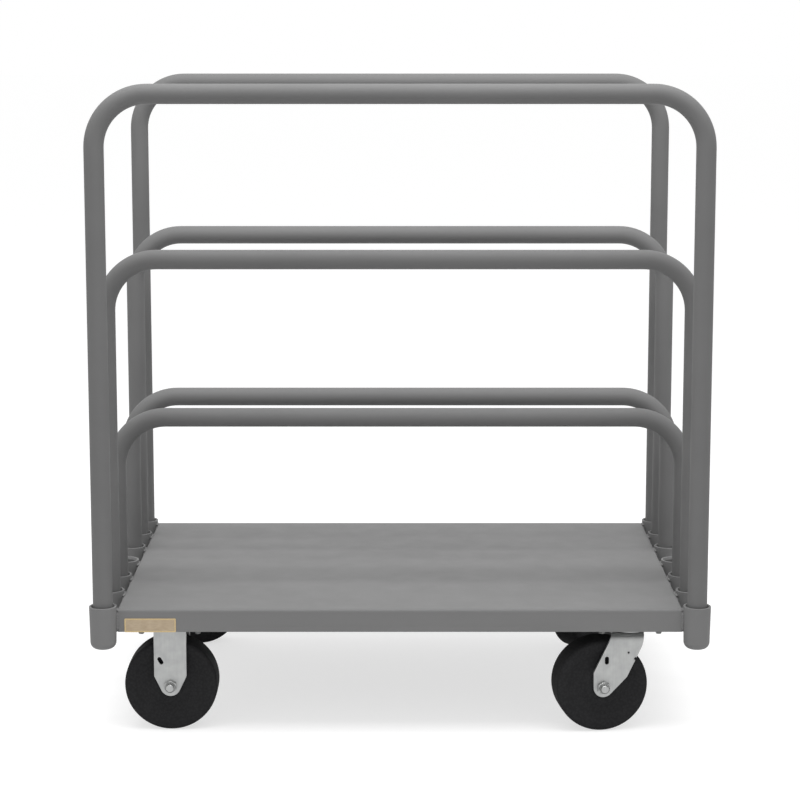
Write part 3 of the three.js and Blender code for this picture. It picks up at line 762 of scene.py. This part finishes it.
def make_cup(side, place):
    node = f"socket_{side}_{place}"
    middle, size = middle_of(node)
    profile = cup_profile(-size.z / 2, size.z / 2, size.x / 2)
    bm = lathe(bmesh.new(), profile, Matrix.Translation(middle))
    return add_piece(f"painted_cup_{side}_{place}", bm, powder_coat, "cart_frame", node)


cups = [make_cup(side, place) for side in ("left", "right") for place in range(1, CUPS_PER_SIDE + 1)]
print("cups:", len(cups), "of", len(cups[0].data.polygons), "faces")

# %% [markdown]
# ## Weld beads
# The cups are welded to the ends of the deck. A bead is a row of overlapping puddles, so its width
# swells and shrinks every few millimetres. A normal map could fake that on a strip. Here the swept
# tube itself swells, so that the bead catches light from every side. Each cup has one bead along
# the edge of the deck and one down each side of the flange.

# %% Beads at the cups
BEAD_RADIUS = 2.6 * MM
BEAD_STEP = 0.9 * MM
PUDDLE = 4.2 * MM
PUDDLE_SWELL = 0.12
BEAD_TAPER = 3 * MM
BEAD_TIP = 0.15 * MM
BEAD_SIDES = 10
VALLEY_REACH = 11.5 * MM
EDGE_REACH = 12 * MM
EDGE_DROP = 2.4 * MM
ABOVE_LIP = 3 * MM
BELOW_TOP = 5 * MM
CORNER_INSET = 1 * MM


def lay_bead(bm, start, end, across, bow=lambda share: Vector()):
    """A bead from start to end, pushed sideways by bow, with puddles and rounded ends."""
    length = (end - start).length
    count = ceil(length / BEAD_STEP)
    path = []
    radii = []
    for i in range(count + 1):
        share = i / count
        run = share * length
        end_gap = min(run, length - run)
        taper = sqrt(min(1, (end_gap + BEAD_TIP) / BEAD_TAPER))
        swell = 1 + PUDDLE_SWELL * cos(2 * pi * run / PUDDLE)
        path.append(start.lerp(end, share) + bow(share))
        radii.append(BEAD_RADIUS * taper * swell)
    sweep(bm, path, radii, across, BEAD_SIDES)


def weld_cup(bm, side, place):
    sign = -1 if side == "left" else 1
    middle, size = middle_of(f"socket_{side}_{place}")
    radius = size.x / 2
    deck_end = sign * deck_length / 2
    gap = radius - sqrt(radius ** 2 - VALLEY_REACH ** 2)
    inward = 0 if place not in (1, CUPS_PER_SIDE) else (1 if place == 1 else -1)
    low, high = flange_bottom + ABOVE_LIP, deck_top - BELOW_TOP
    for valley in (-1, 1):
        x = deck_end + sign * gap / 2
        y = middle.y + valley * VALLEY_REACH
        if inward and valley != inward:
            x = deck_end
            y = middle.y + inward * CORNER_INSET
        lay_bead(bm, Vector((x, y, low)), Vector((x, y, high)), Vector((1, 0, 0)))
    near = -EDGE_REACH if inward <= 0 else 0
    far = EDGE_REACH if inward >= 0 else 0
    start = Vector((deck_end, middle.y + near, deck_top - EDGE_DROP))
    end = Vector((deck_end, middle.y + far, deck_top - EDGE_DROP))

    def follow_cup(share):
        offset = near + share * (far - near)
        return Vector((sign * (radius - sqrt(radius ** 2 - offset ** 2)) / 2, 0, 0))

    lay_bead(bm, start, end, UP, follow_cup)


for side in ("left", "right"):
    bm = bmesh.new()
    for place in range(1, CUPS_PER_SIDE + 1):
        weld_cup(bm, side, place)
    beads = add_piece(f"cup_welds_{side}", bm, powder_coat, "cart_frame")
    print(beads.name, len(beads.data.polygons), "faces")

# %% [markdown]
# ## Stitch welds under the deck
# Bolsters and rib are held by short stitches with gaps between them, because a long weld would warp
# the thin deck. They use the same bead, laid along each edge that touches the deck.

# %% Stitches
STITCH = 28 * MM
STITCH_GAP = 72 * MM
STITCH_DROP = 1 * MM


def lay_stitches(bm, start, end):
    """Short beads along a line, evenly spaced."""
    run = end - start
    count = max(1, round(run.length / (STITCH + STITCH_GAP)))
    for i in range(count):
        middle = start + run * (i + 0.5) / count
        half = run.normalized() * STITCH / 2
        lay_bead(bm, middle - half, middle + half, UP)


bm = bmesh.new()
for node in ("caster_bolster_left", "caster_bolster_right"):
    low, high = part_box(node)
    seam = high.z - STITCH_DROP
    for x in (low.x, high.x):
        lay_stitches(bm, Vector((x, low.y, seam)), Vector((x, high.y, seam)))
low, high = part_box("deck_rib")
seam = high.z - STITCH_DROP
for y in (low.y, high.y):
    lay_stitches(bm, Vector((low.x, y, seam)), Vector((high.x, y, seam)))
stitches = add_piece("underdeck_stitches", bm, powder_coat, "cart_frame")
print("stitches:", len(stitches.data.polygons), "faces")

# %% [markdown]
# ## The hoops
# Each hoop is one length of tube bent twice on a mandrel bender, which keeps it round through the
# bend. The centre line is a rounded U, and a ring is drawn along it, once for the outside and once
# for the bore, because the open feet show when a hoop is lifted out of its cups.

# %% Hoops
TUBE_RADIUS = 15.875 * MM
TUBE_WALL = 2.1 * MM
HOOP_BEND = 84 * MM
HOOP_SIDES = 40
BEND_STEPS = 20
HOOPS = [(height, end) for height in ("tall", "medium", "low") for end in ("front", "rear")]


def make_hoop(height, end):
    node = f"{height}_divider_{end}"
    low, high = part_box(node)
    x = middle_of("socket_right_1")[0].x
    y = (low.y + high.y) / 2
    rail = high.z - TUBE_RADIUS
    line = rounded([(-x, low.z), (-x, rail, HOOP_BEND), (x, rail, HOOP_BEND), (x, low.z)],
                   BEND_STEPS, closed=False)
    path = [Vector((p.x, y, p.y)) for p in line]
    bm = bmesh.new()
    across = Vector((0, 1, 0))
    outside = sweep(bm, path, [TUBE_RADIUS] * len(path), across, HOOP_SIDES, capped=False)
    inside = sweep(bm, path, [TUBE_RADIUS - TUBE_WALL] * len(path), across, HOOP_SIDES, capped=False)
    for foot in (0, -1):
        skin(bm, [outside[foot], inside[foot]])
    return add_piece(f"painted_hoop_{height}_{end}", bm, hoop_coat_painted_darker, node, node)


hoops = [make_hoop(*which) for which in HOOPS]
print("hoops:", len(hoops), "of", len(hoops[0].data.polygons), "faces")

# %% [markdown]
# ## Where each caster stands
# The rigid casters are square to the deck, and the swivel ones stand as they last rolled. The
# frame's joints hold each axle's place and direction, so one matrix per caster takes a wheel, fork
# or nut from the bench, where the axle lies along Y over the origin, to its place on the cart.

# %% Caster places
CASTERS = [f"{kind}_{end}" for kind in ("rigid", "swivel") for end in ("front", "rear")]


def heading_of(caster):
    axis = joints[f"{caster}_wheel_spin"]["axis"]
    return atan2(-axis[0], axis[1])


def axle_place(caster):
    """From the bench to the axle; the nut is on the outer side of the cart."""
    turn = heading_of(caster) + (pi if caster.endswith("rear") else 0)
    axle = Vector(joints[f"{caster}_wheel_spin"]["pos_m"])
    return Matrix.Translation(axle) @ Matrix.Rotation(turn, 4, "Z")


def plate_place(caster):
    """From the bench to the floor point under the middle of the caster's plate."""
    name = f"{caster}_turn" if caster.startswith("swivel") else f"{caster}_wheel_spin"
    spot = joints[name]["pos_m"]
    return Matrix.Translation((spot[0], spot[1], 0))


def fixed_body(caster):
    """The body that holds the axle still: the swivel yoke, or the cart itself."""
    return f"{caster}_yoke" if caster.startswith("swivel") else "cart_frame"


for caster in CASTERS:
    print(caster, [round(v / MM) for v in axle_place(caster).translation])

# %% [markdown]
# ## Wheels
# A phenolic wheel is pressed in one piece: a slightly crowned tread, a flat rim, a shallow dished
# web and a raised hub. The mould leaves every edge rounded, and the dish has such easy slopes that
# it shows only as a soft dark ring. The profile of half a wheel is enough, because the other half
# is its mirror.

# %% Wheels
WHEEL_RADIUS = 76.2 * MM
WHEEL_HALF = 25.4 * MM
TREAD_EDGE = 6 * MM
RIM_BAND = 15 * MM
DISH = 3.5 * MM
DISH_SLOPE = 10 * MM
DISH_ROUND = 14 * MM
HUB_SLOPE = 9 * MM
HUB_RADIUS = 27 * MM
HUB_HALF = 27 * MM
HUB_EDGE = 0.8 * MM
HUB_ROUND = 6 * MM
WHEEL_BORE = 15.4 * MM
TREAD_CROWN = 0.4 * MM
ACROSS = Matrix.Rotation(-pi / 2, 4, "X")
WHEEL_SIDES = 96


def wheel_profile():
    half = [
        (WHEEL_BORE, 0), (WHEEL_BORE, HUB_HALF, HUB_EDGE), (HUB_RADIUS, HUB_HALF, HUB_ROUND),
        (HUB_RADIUS + HUB_SLOPE, WHEEL_HALF - DISH, DISH_ROUND / 2),
        (WHEEL_RADIUS - RIM_BAND - DISH_SLOPE, WHEEL_HALF - DISH, DISH_ROUND),
        (WHEEL_RADIUS - RIM_BAND, WHEEL_HALF, DISH_ROUND),
        (WHEEL_RADIUS - TREAD_CROWN, WHEEL_HALF, TREAD_EDGE), (WHEEL_RADIUS, 0),
    ]
    upper = rounded(half, closed=False)
    lower = [(radius, -height) for radius, height in upper[-2:0:-1]]
    return upper + lower


def make_wheel(caster):
    bm = lathe(bmesh.new(), wheel_profile(), axle_place(caster) @ ACROSS, WHEEL_SIDES, closed=True)
    return add_piece(f"phenolic_wheel_{caster}", bm, phenolic, f"{caster}_wheel_set", f"{caster}_wheel")


wheels = [make_wheel(caster) for caster in CASTERS]
print("wheels:", len(wheels), "of", len(wheels[0].data.polygons), "faces")

# %% [markdown]
# ## Bearings and bushings
# Inside each hub a cage of steel rollers runs on a hardened bushing, which the axle bolt clamps
# between the fork legs. Little of it shows, but a wheel that turns has to turn on something. The
# rollers are small lathe jobs set round a circle, between two cage rings.

# %% Roller bearings and bushings
BEARING_OUTER = 14.2 * MM
BUSHING_RADIUS = 9.5 * MM
BUSHING_BORE = 6.7 * MM
BUSHING_HALF = 28 * MM
ROLLER_RADIUS = 2 * MM
ROLLER_CIRCLE = 12.2 * MM
ROLLER_COUNT = 14
ROLLER_SIDES = 12
ROLLER_TENON = 0.5 * MM
BEARING_HALF = 26.7 * MM
CAGE_WIDTH = 3 * MM
CAGE_PLAY = 0.5 * MM
CAGE_CHAMFER = 0.4 * MM
BUSHING_CHAMFER = 0.6 * MM


def tube_profile(bore, outer, low, high, chamfer):
    corners = ((bore, low), (outer, low), (outer, high), (bore, high))
    return rounded([(*corner, chamfer) for corner in corners], steps=2)


def make_bearing(caster):
    place = axle_place(caster) @ ACROSS
    bm = bmesh.new()
    bore = BUSHING_RADIUS + CAGE_PLAY
    for low in (-BEARING_HALF, BEARING_HALF - CAGE_WIDTH):
        ring = tube_profile(bore, BEARING_OUTER, low, low + CAGE_WIDTH, CAGE_CHAMFER)
        lathe(bm, ring, place, closed=True)
    reach = BEARING_HALF - CAGE_WIDTH + ROLLER_TENON
    bar = [(0, -reach), (ROLLER_RADIUS, -reach), (ROLLER_RADIUS, reach), (0, reach)]
    for i in range(ROLLER_COUNT):
        angle = 2 * pi * i / ROLLER_COUNT
        spot = Matrix.Translation((ROLLER_CIRCLE * cos(angle), ROLLER_CIRCLE * sin(angle), 0))
        lathe(bm, bar, place @ spot, ROLLER_SIDES)
    body = f"{caster}_wheel_set"
    return add_piece(f"roller_cage_{caster}", bm, ground_steel, body, f"{caster}_roller_bearing")


def make_bushing(caster):
    profile = tube_profile(BUSHING_BORE, BUSHING_RADIUS, -BUSHING_HALF, BUSHING_HALF, BUSHING_CHAMFER)
    bm = lathe(bmesh.new(), profile, axle_place(caster) @ ACROSS, closed=True)
    name = f"hard_bushing_{caster}"
    return add_piece(name, bm, ground_steel, fixed_body(caster), f"{caster}_spanner_bushing")


for caster in CASTERS:
    cage = make_bearing(caster)
    make_bushing(caster)
print("bearings:", ROLLER_COUNT, "rollers each,", len(cage.data.polygons), "faces")

# %% [markdown]
# ## Axle bolts and lock nuts
# A hexagon bolt is forged and its head is turned, which leaves a round chamfer over six corners.
# The lock nut has a domed collar over its nylon ring, which sits a little way down its mouth. From
# the front that collar and the end of the bolt look like two circles, one in the other, with a dark
# gap between. The lathe tool makes both: round rings for the chamfers and the collar, hexagon rings
# for the flats, and a zigzag for the thread.

# %% Axle bolts and nuts
AXLE_RADIUS = 6.35 * MM
HEAD_FLAT = 9.5 * MM
HEAD_HEIGHT = 8 * MM
NUT_HEIGHT = 10 * MM
NUT_FLATS = 5 * MM
NUT_TURN = pi / 6
COLLAR_RADIUS = 8.6 * MM
COLLAR_LIP = 0.3 * MM
MOUTH_RADIUS = 7.7 * MM
MOUTH_DEPTH = 2.4 * MM
TAIL = 3 * MM
FORK_SEAT = 33.6 * MM
THREAD_PITCH = 1.5 * MM
THREAD_DEPTH = 0.55 * MM
THREAD_INSIDE = 6 * MM
THREAD_PLAY = 0.25 * MM
HEX_SIDES = 48
CHAMFER = 0.9 * MM
SEAT_CHAMFER = 0.3 * CHAMFER
CHAMFER_SHARE = 0.93


def thread(radius, low, high):
    """A zigzag from low to high: one ridge for each pitch."""
    ridges = max(1, round((high - low) / THREAD_PITCH))
    step = (high - low) / ridges / 2
    return [(radius - (THREAD_DEPTH if i % 2 else 0), low + i * step) for i in range(2 * ridges + 1)]


def hexagon_head(flat, low, high):
    """Flats between two round chamfers, each of them a share of the flats' own radius."""
    return [(flat * CHAMFER_SHARE, low), (flat, low + SEAT_CHAMFER, "hex"),
            (flat, high - CHAMFER, "hex"), (flat * CHAMFER_SHARE, high)]


def make_axle_bolt(caster):
    head = hexagon_head(HEAD_FLAT, FORK_SEAT, FORK_SEAT + HEAD_HEIGHT)
    tail_end = -FORK_SEAT - NUT_HEIGHT - TAIL
    shank = thread(AXLE_RADIUS, tail_end + CHAMFER, -FORK_SEAT + THREAD_INSIDE)
    profile = [(0, tail_end), (AXLE_RADIUS - CHAMFER, tail_end), *shank,
               (AXLE_RADIUS, FORK_SEAT), *head, (0, FORK_SEAT + HEAD_HEIGHT)]
    bm = lathe(bmesh.new(), profile, axle_place(caster) @ ACROSS, HEX_SIDES)
    return add_piece(f"axle_bolt_{caster}_plated", bm, zinc, fixed_body(caster), f"{caster}_axle_bolt")


def make_axle_nut(caster):
    bore = AXLE_RADIUS + THREAD_PLAY
    outside = hexagon_head(HEAD_FLAT, 0, NUT_FLATS)
    ring_top = NUT_HEIGHT - MOUTH_DEPTH
    collar = [(COLLAR_RADIUS, NUT_FLATS), (COLLAR_RADIUS, ring_top),
              (MOUTH_RADIUS + COLLAR_LIP, NUT_HEIGHT), (MOUTH_RADIUS, NUT_HEIGHT)]
    profile = [(bore, 0), *outside, *collar, (MOUTH_RADIUS, ring_top), (bore, ring_top)]
    outward = Matrix.Translation((0, -FORK_SEAT, 0)) @ UPRIGHT
    turned = outward @ Matrix.Rotation(NUT_TURN, 4, "Z")
    bm = lathe(bmesh.new(), profile, axle_place(caster) @ turned, HEX_SIDES, closed=True)
    return add_piece(f"lock_nut_{caster}", bm, zinc, fixed_body(caster), f"{caster}_axle_nut")


for caster in CASTERS:
    make_axle_bolt(caster)
    nut = make_axle_nut(caster)
print("lock nut, mm:", [round(side / MM, 1) for side in nut.dimensions])

# %% [markdown]
# ## Rigid forks
# A rigid fork is a plate with two stamped legs welded under it. Each leg is a blank with a rounded
# end for the axle and a slot from an earlier press step. Stamping breaks the rims on one side only,
# but plating softens both, so both are broken here.

# %% Rigid forks
PLATE_SIZE = (114.3 * MM, 101.6 * MM)
PLATE_CORNER = 10 * MM
PLATE_THICK = 6.35 * MM
PLATE_TOP = 196.85 * MM
LEG_SHEET = 5 * MM
LEG_INSIDE = 28.3 * MM
LEG_END = 16.5 * MM
AXLE_HOLE = 6.65 * MM
AXLE_HEIGHT = WHEEL_RADIUS
RIGID_HALF = 26.5 * MM
RIGID_TAPER = 17 * MM
SLOT_LENGTH = 13 * MM
SLOT_WIDTH = 6.5 * MM
RIGID_SLOT = Vector((-16 * MM, 43 * MM))
RIGID_SLOT_TILT = radians(30)
KNEE_RADIUS = 6 * MM
END_STEPS = 20
LEG_WELD_OUT = 1 * MM
LEG_WELD_DROP = 0.8 * MM


def slot_loop(centre, tilt):
    """A slot with round ends, standing up and then tilted."""
    turn = Matrix.Rotation(tilt, 2)
    flat = rectangle(SLOT_WIDTH, SLOT_LENGTH, SLOT_WIDTH / 2 - SAME_PLACE)
    return [centre + turn @ point for point in flat]


def leg_bottom(right_corner, left_corner):
    """Points of the round end about the axle, between the lines that touch it from two corners."""
    right = atan2(right_corner.y, right_corner.x) - acos(LEG_END / right_corner.length)
    left = atan2(left_corner.y, left_corner.x) + acos(LEG_END / left_corner.length)
    turn = (right - left) % (2 * pi)
    angles = [left + turn * i / END_STEPS for i in range(END_STEPS + 1)]
    return [LEG_END * Vector((cos(angle), sin(angle))) for angle in angles]


def rigid_leg_outline(top):
    right = Vector((RIGID_HALF, RIGID_TAPER))
    left = Vector((-RIGID_HALF, RIGID_TAPER))
    return rounded([(RIGID_HALF, top), (-RIGID_HALF, top), (*left, KNEE_RADIUS),
                    *leg_bottom(right, left), (*right, KNEE_RADIUS)])


def caster_plate(bm, place):
    blank = cut_blank(rectangle(*PLATE_SIZE, PLATE_CORNER), PLATE_THICK, PLATE_RIM, bolt_holes())
    put(bm, blank, place @ Matrix.Translation((0, 0, PLATE_TOP - PLATE_THICK / 2)))


def make_rigid_fork(caster):
    place = plate_place(caster)
    bm = bmesh.new()
    caster_plate(bm, place)
    top = PLATE_TOP - PLATE_THICK - AXLE_HEIGHT
    holes = [circle(0, 0, AXLE_HOLE), slot_loop(RIGID_SLOT, RIGID_SLOT_TILT)]
    for side in (-1, 1):
        blank = cut_blank(rigid_leg_outline(top), LEG_SHEET, PLATE_RIM, holes)
        across = side * (LEG_INSIDE + LEG_SHEET / 2)
        put(bm, blank, place @ Matrix.Translation((0, across, AXLE_HEIGHT)) @ UPRIGHT)
        y = side * (LEG_INSIDE + LEG_SHEET + LEG_WELD_OUT)
        z = PLATE_TOP - PLATE_THICK - LEG_WELD_DROP
        start = place @ Vector((-RIGID_HALF, y, z))
        end = place @ Vector((RIGID_HALF, y, z))
        lay_bead(bm, start, end, UP)
    return add_piece(f"plated_fork_{caster}", bm, zinc, "cart_frame", f"{caster}_fork")


for caster in CASTERS[:2]:
    fork = make_rigid_fork(caster)
    print(fork.name, len(fork.data.polygons), "faces")

# %% [markdown]
# ## Swivel heads
# A swivel caster hangs from a plate on a ring of balls between two pressed races, and a kingpin
# holds it together. The races are turned profiles with a lip over the balls. The balls are turned
# from half circles, so that they can share the lathe tool.

# %% Top plates, kingpins and ball rings
RACE_RADIUS = 38 * MM
RACE_HEIGHT = 9 * MM
RACE_SHEET = 3 * MM
RACE_SIDES = 64
RACE_ROUND = 3 * MM
RACE_EDGE = 0.8 * MM
BORE_EDGE = 0.5 * MM
CROWN_TOP = 166.15 * MM
BALL_CIRCLE = 31.5 * MM
BALL_RADIUS = 2.8 * MM
BALL_COUNT = 30
BALL_STEPS = 8
BALL_SIDES = 12
BALL_CAGE_HALF = 1.2 * MM
BALL_CAGE_RISE = 0.6 * MM
BALL_CAGE_EDGE = 0.2 * MM
KINGPIN_RADIUS = 8 * MM
KINGPIN_HOLE = 8.6 * MM
KINGPIN_HEAD = 13 * MM
KINGPIN_HEAD_HEIGHT = 4 * MM
KINGPIN_NUT_FLAT = 12 * MM
KINGPIN_NUT_HEIGHT = 10 * MM


def race_profile(base, rim):
    """A pressed ring from its flat base to its rim, which may lie above or below."""
    corners = [(KINGPIN_HOLE, base, BORE_EDGE), (RACE_RADIUS - RACE_SHEET, base, RACE_ROUND),
               (RACE_RADIUS, rim, RACE_EDGE), (RACE_RADIUS - RACE_SHEET, rim, RACE_EDGE),
               (KINGPIN_HOLE, rim, BORE_EDGE)]
    return rounded(corners, steps=3)


def make_top_plate(caster):
    place = plate_place(caster)
    bm = bmesh.new()
    caster_plate(bm, place)
    base = PLATE_TOP - PLATE_THICK
    lathe(bm, race_profile(base, base - RACE_HEIGHT), place, RACE_SIDES, closed=True)
    return add_piece(f"plated_top_plate_{caster}", bm, zinc, "cart_frame", f"{caster}_top_plate")


def make_kingpin(caster):
    low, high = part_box(f"{caster}_kingpin")
    nut_top = low.z + KINGPIN_NUT_HEIGHT
    head_low = high.z - KINGPIN_HEAD_HEIGHT
    nut = hexagon_head(KINGPIN_NUT_FLAT, low.z, nut_top)
    profile = [(0, low.z), *nut, (KINGPIN_RADIUS, nut_top),
               (KINGPIN_RADIUS, head_low), (KINGPIN_HEAD, head_low),
               (KINGPIN_HEAD, high.z - CHAMFER), (KINGPIN_HEAD - CHAMFER, high.z), (0, high.z)]
    bm = lathe(bmesh.new(), profile, plate_place(caster), HEX_SIDES)
    return add_piece(f"plated_kingpin_{caster}", bm, zinc, "cart_frame", f"{caster}_kingpin")


def make_ball_ring(caster):
    low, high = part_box(f"{caster}_ball_ring")
    height = (low.z + high.z) / 2
    angles = [pi * i / BALL_STEPS for i in range(BALL_STEPS + 1)]
    half_circle = [(BALL_RADIUS * sin(angle), -BALL_RADIUS * cos(angle)) for angle in angles]
    bm = bmesh.new()
    for i in range(BALL_COUNT):
        angle = 2 * pi * i / BALL_COUNT
        spot = Vector((BALL_CIRCLE * cos(angle), BALL_CIRCLE * sin(angle), height))
        lathe(bm, half_circle, plate_place(caster) @ Matrix.Translation(spot), BALL_SIDES)
    cage = tube_profile(BALL_CIRCLE - BALL_CAGE_HALF, BALL_CIRCLE + BALL_CAGE_HALF,
                        height - BALL_CAGE_RISE, height + BALL_CAGE_RISE, BALL_CAGE_EDGE)
    lathe(bm, cage, plate_place(caster), RACE_SIDES, closed=True)
    return add_piece(f"ball_cage_{caster}", bm, ground_steel, f"{caster}_yoke", f"{caster}_ball_ring")


for caster in CASTERS[2:]:
    make_top_plate(caster)
    make_kingpin(caster)
    ring = make_ball_ring(caster)
print("ball ring:", BALL_COUNT, "balls,", len(ring.data.polygons), "faces")

# %% [markdown]
# ## Swivel forks
# A swivel fork is stamped flat and then folded: one blank holds both legs and the crown between
# them, and a press bends it into a U. The mesh is made the same way. The flat blank is scored with
# extra edges where the bends will be, and then each point is moved to where the fold takes it. That
# gives the bright rounded shoulder at the top of the leg, which two crossed plates would not have.

# %% Swivel forks
SWIVEL_OFFSET = 48 * MM
FOLD_RADIUS = 14 * MM
SCORES = 8
SCORE_WIDTH = 1e-7
CROWN_LEAD = 21 * MM
CROWN_TRAIL = 31 * MM
NECK = Vector((53.5 * MM, 46 * MM))
HEEL = Vector((39 * MM, 16 * MM))
KNEE = Vector((-16.8 * MM, 25 * MM))
SWIVEL_SLOT = Vector((5 * MM, 45 * MM))
LEAD_BULGE = Vector((64.2 * MM, 68 * MM))
LEAD_ROUND = 45 * MM
NOTCH_LENGTH = 4.5 * MM
NOTCH_DEPTH = 2.8 * MM
NOTCH_ROUND = 0.7 * MM
PIN_DENT = Vector((41 * MM, 57 * MM))
PIN_DENT_RADIUS = 1.7 * MM
PIN_DENT_SIDES = 12
leg_outside = LEG_INSIDE + LEG_SHEET
fold_fibre = FOLD_RADIUS - LEG_SHEET / 2
crown_half = leg_outside - FOLD_RADIUS
fold_length = fold_fibre * pi / 2
fold_height = CROWN_TOP - FOLD_RADIUS


def unfold(point):
    """From a leg's own drawing, with the axle at the origin, to the flat blank."""
    drop = fold_height - (AXLE_HEIGHT + point.y)
    return Vector((point.x - SWIVEL_OFFSET, crown_half + fold_length + drop))


def mirrored(points):
    return [Vector((point.x, -point.y)) for point in points]


def swivel_blank():
    """One leg is drawn and unfolded; the other is its mirror."""
    trail_top = Vector((SWIVEL_OFFSET - CROWN_TRAIL, CROWN_TOP - AXLE_HEIGHT))
    lead_top = Vector((SWIVEL_OFFSET + CROWN_LEAD, CROWN_TOP - AXLE_HEIGHT))
    below = (HEEL - NECK).normalized() * NOTCH_LENGTH / 2
    above = (LEAD_BULGE - NECK).normalized() * NOTCH_LENGTH / 2
    inward = (above - below).orthogonal().normalized() * NOTCH_DEPTH
    notch = [NECK + below, NECK + below + inward, NECK + above + inward, NECK + above]
    leg = rounded([trail_top, (*KNEE, KNEE_RADIUS), *leg_bottom(HEEL, KNEE),
                   (*HEEL, KNEE_RADIUS), *[(*p, NOTCH_ROUND) for p in notch],
                   (*LEAD_BULGE, LEAD_ROUND), lead_top], closed=False)
    right = [unfold(point) for point in leg[1:-1]]
    right = [Vector((-CROWN_TRAIL, crown_half)), *right, Vector((CROWN_LEAD, crown_half))]
    left = mirrored(reversed(right))
    holes = [circle(0, 0, KINGPIN_HOLE)]
    leg_holes = [circle(0, 0, AXLE_HOLE), slot_loop(SWIVEL_SLOT, 0),
                 circle(*PIN_DENT, PIN_DENT_RADIUS, PIN_DENT_SIDES)]
    for loop in leg_holes:
        flat = [unfold(point) for point in loop]
        holes += [flat, mirrored(flat)]
    return cut_blank(right + left, LEG_SHEET, PLATE_RIM, holes)


def fold(point):
    """Where a point of the blank goes when the press closes."""
    run = abs(point.y)
    side = 1 if point.y > 0 else -1
    if run <= crown_half:
        return Vector((point.x, point.y, CROWN_TOP - LEG_SHEET / 2 + point.z))
    radius = fold_fibre + point.z
    angle = min((run - crown_half) / fold_fibre, pi / 2)
    past = max(run - crown_half - fold_length, 0)
    return Vector((point.x, side * (crown_half + radius * sin(angle)),
                   fold_height + radius * cos(angle) - past))


def make_swivel_fork(caster):
    blank = swivel_blank()
    for i in range(SCORES + 1):
        for side in (-1, 1):
            line = Vector((0, side * (crown_half + fold_length * i / SCORES), 0))
            bmesh.ops.bisect_plane(blank, geom=blank.verts[:] + blank.edges[:] + blank.faces[:],
                                   dist=SCORE_WIDTH, plane_co=line, plane_no=(0, 1, 0))
    for vert in blank.verts:
        vert.co = fold(vert.co)
    turn = heading_of(caster)
    place = plate_place(caster) @ Matrix.Rotation(turn, 4, "Z")
    bm = bmesh.new()
    put(bm, blank, place)
    lathe(bm, race_profile(CROWN_TOP, CROWN_TOP + RACE_HEIGHT), place, RACE_SIDES, closed=True)
    return add_piece(f"plated_fork_{caster}", bm, zinc, f"{caster}_yoke", f"{caster}_fork")


for caster in CASTERS[2:]:
    fork = make_swivel_fork(caster)
    print(fork.name, len(fork.data.polygons), "faces")

# %% [markdown]
# ## Caster bolts
# Four bolts hang from each bolster through the caster's plate. Each has a washer and a nut under the
# plate, and a tail of thread below the nut, whose tip shows under the flange from the front. They are
# small and alike, so the four of a caster are one piece.

# %% Caster bolts
CASTER_BOLT = 4.75 * MM
CASTER_NUT_FLAT = 7.15 * MM
CASTER_NUT_HEIGHT = 8 * MM
CASTER_BOLT_TAIL = 25 * MM
CASTER_BOLT_TOP = 12 * MM
WASHER_RADIUS = 9 * MM
WASHER_THICK = 1.5 * MM


def caster_bolt_profile():
    """From the tip of the tail up past nut, washer and plate, into the bolster."""
    seat = PLATE_TOP - PLATE_THICK
    tip = seat - CASTER_BOLT_TAIL
    nut_low = seat - CASTER_NUT_HEIGHT
    tail = thread(CASTER_BOLT, tip + CHAMFER, nut_low)
    nut = hexagon_head(CASTER_NUT_FLAT, nut_low, seat - WASHER_THICK)
    top = PLATE_TOP + CASTER_BOLT_TOP
    return [(0, tip), (CASTER_BOLT - CHAMFER, tip), *tail, *nut,
            (WASHER_RADIUS, seat - WASHER_THICK), (WASHER_RADIUS, seat),
            (CASTER_BOLT, seat), (CASTER_BOLT, top), (0, top)]


def make_caster_bolts(caster):
    bm = bmesh.new()
    for spot in BOLT_PLACES:
        lathe(bm, caster_bolt_profile(), plate_place(caster) @ Matrix.Translation((*spot, 0)), HEX_SIDES)
    return add_piece(f"caster_bolts_{caster}", bm, zinc, "cart_frame")


for caster in CASTERS:
    bolts = make_caster_bolts(caster)
print("bolts:", len(BOLT_PLACES), "on each caster,", len(bolts.data.polygons), "faces")

# %% [markdown]
# ## Size
# The finished pieces must not outgrow the engineered solids.

# %% Sizes and finish
low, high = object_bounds()
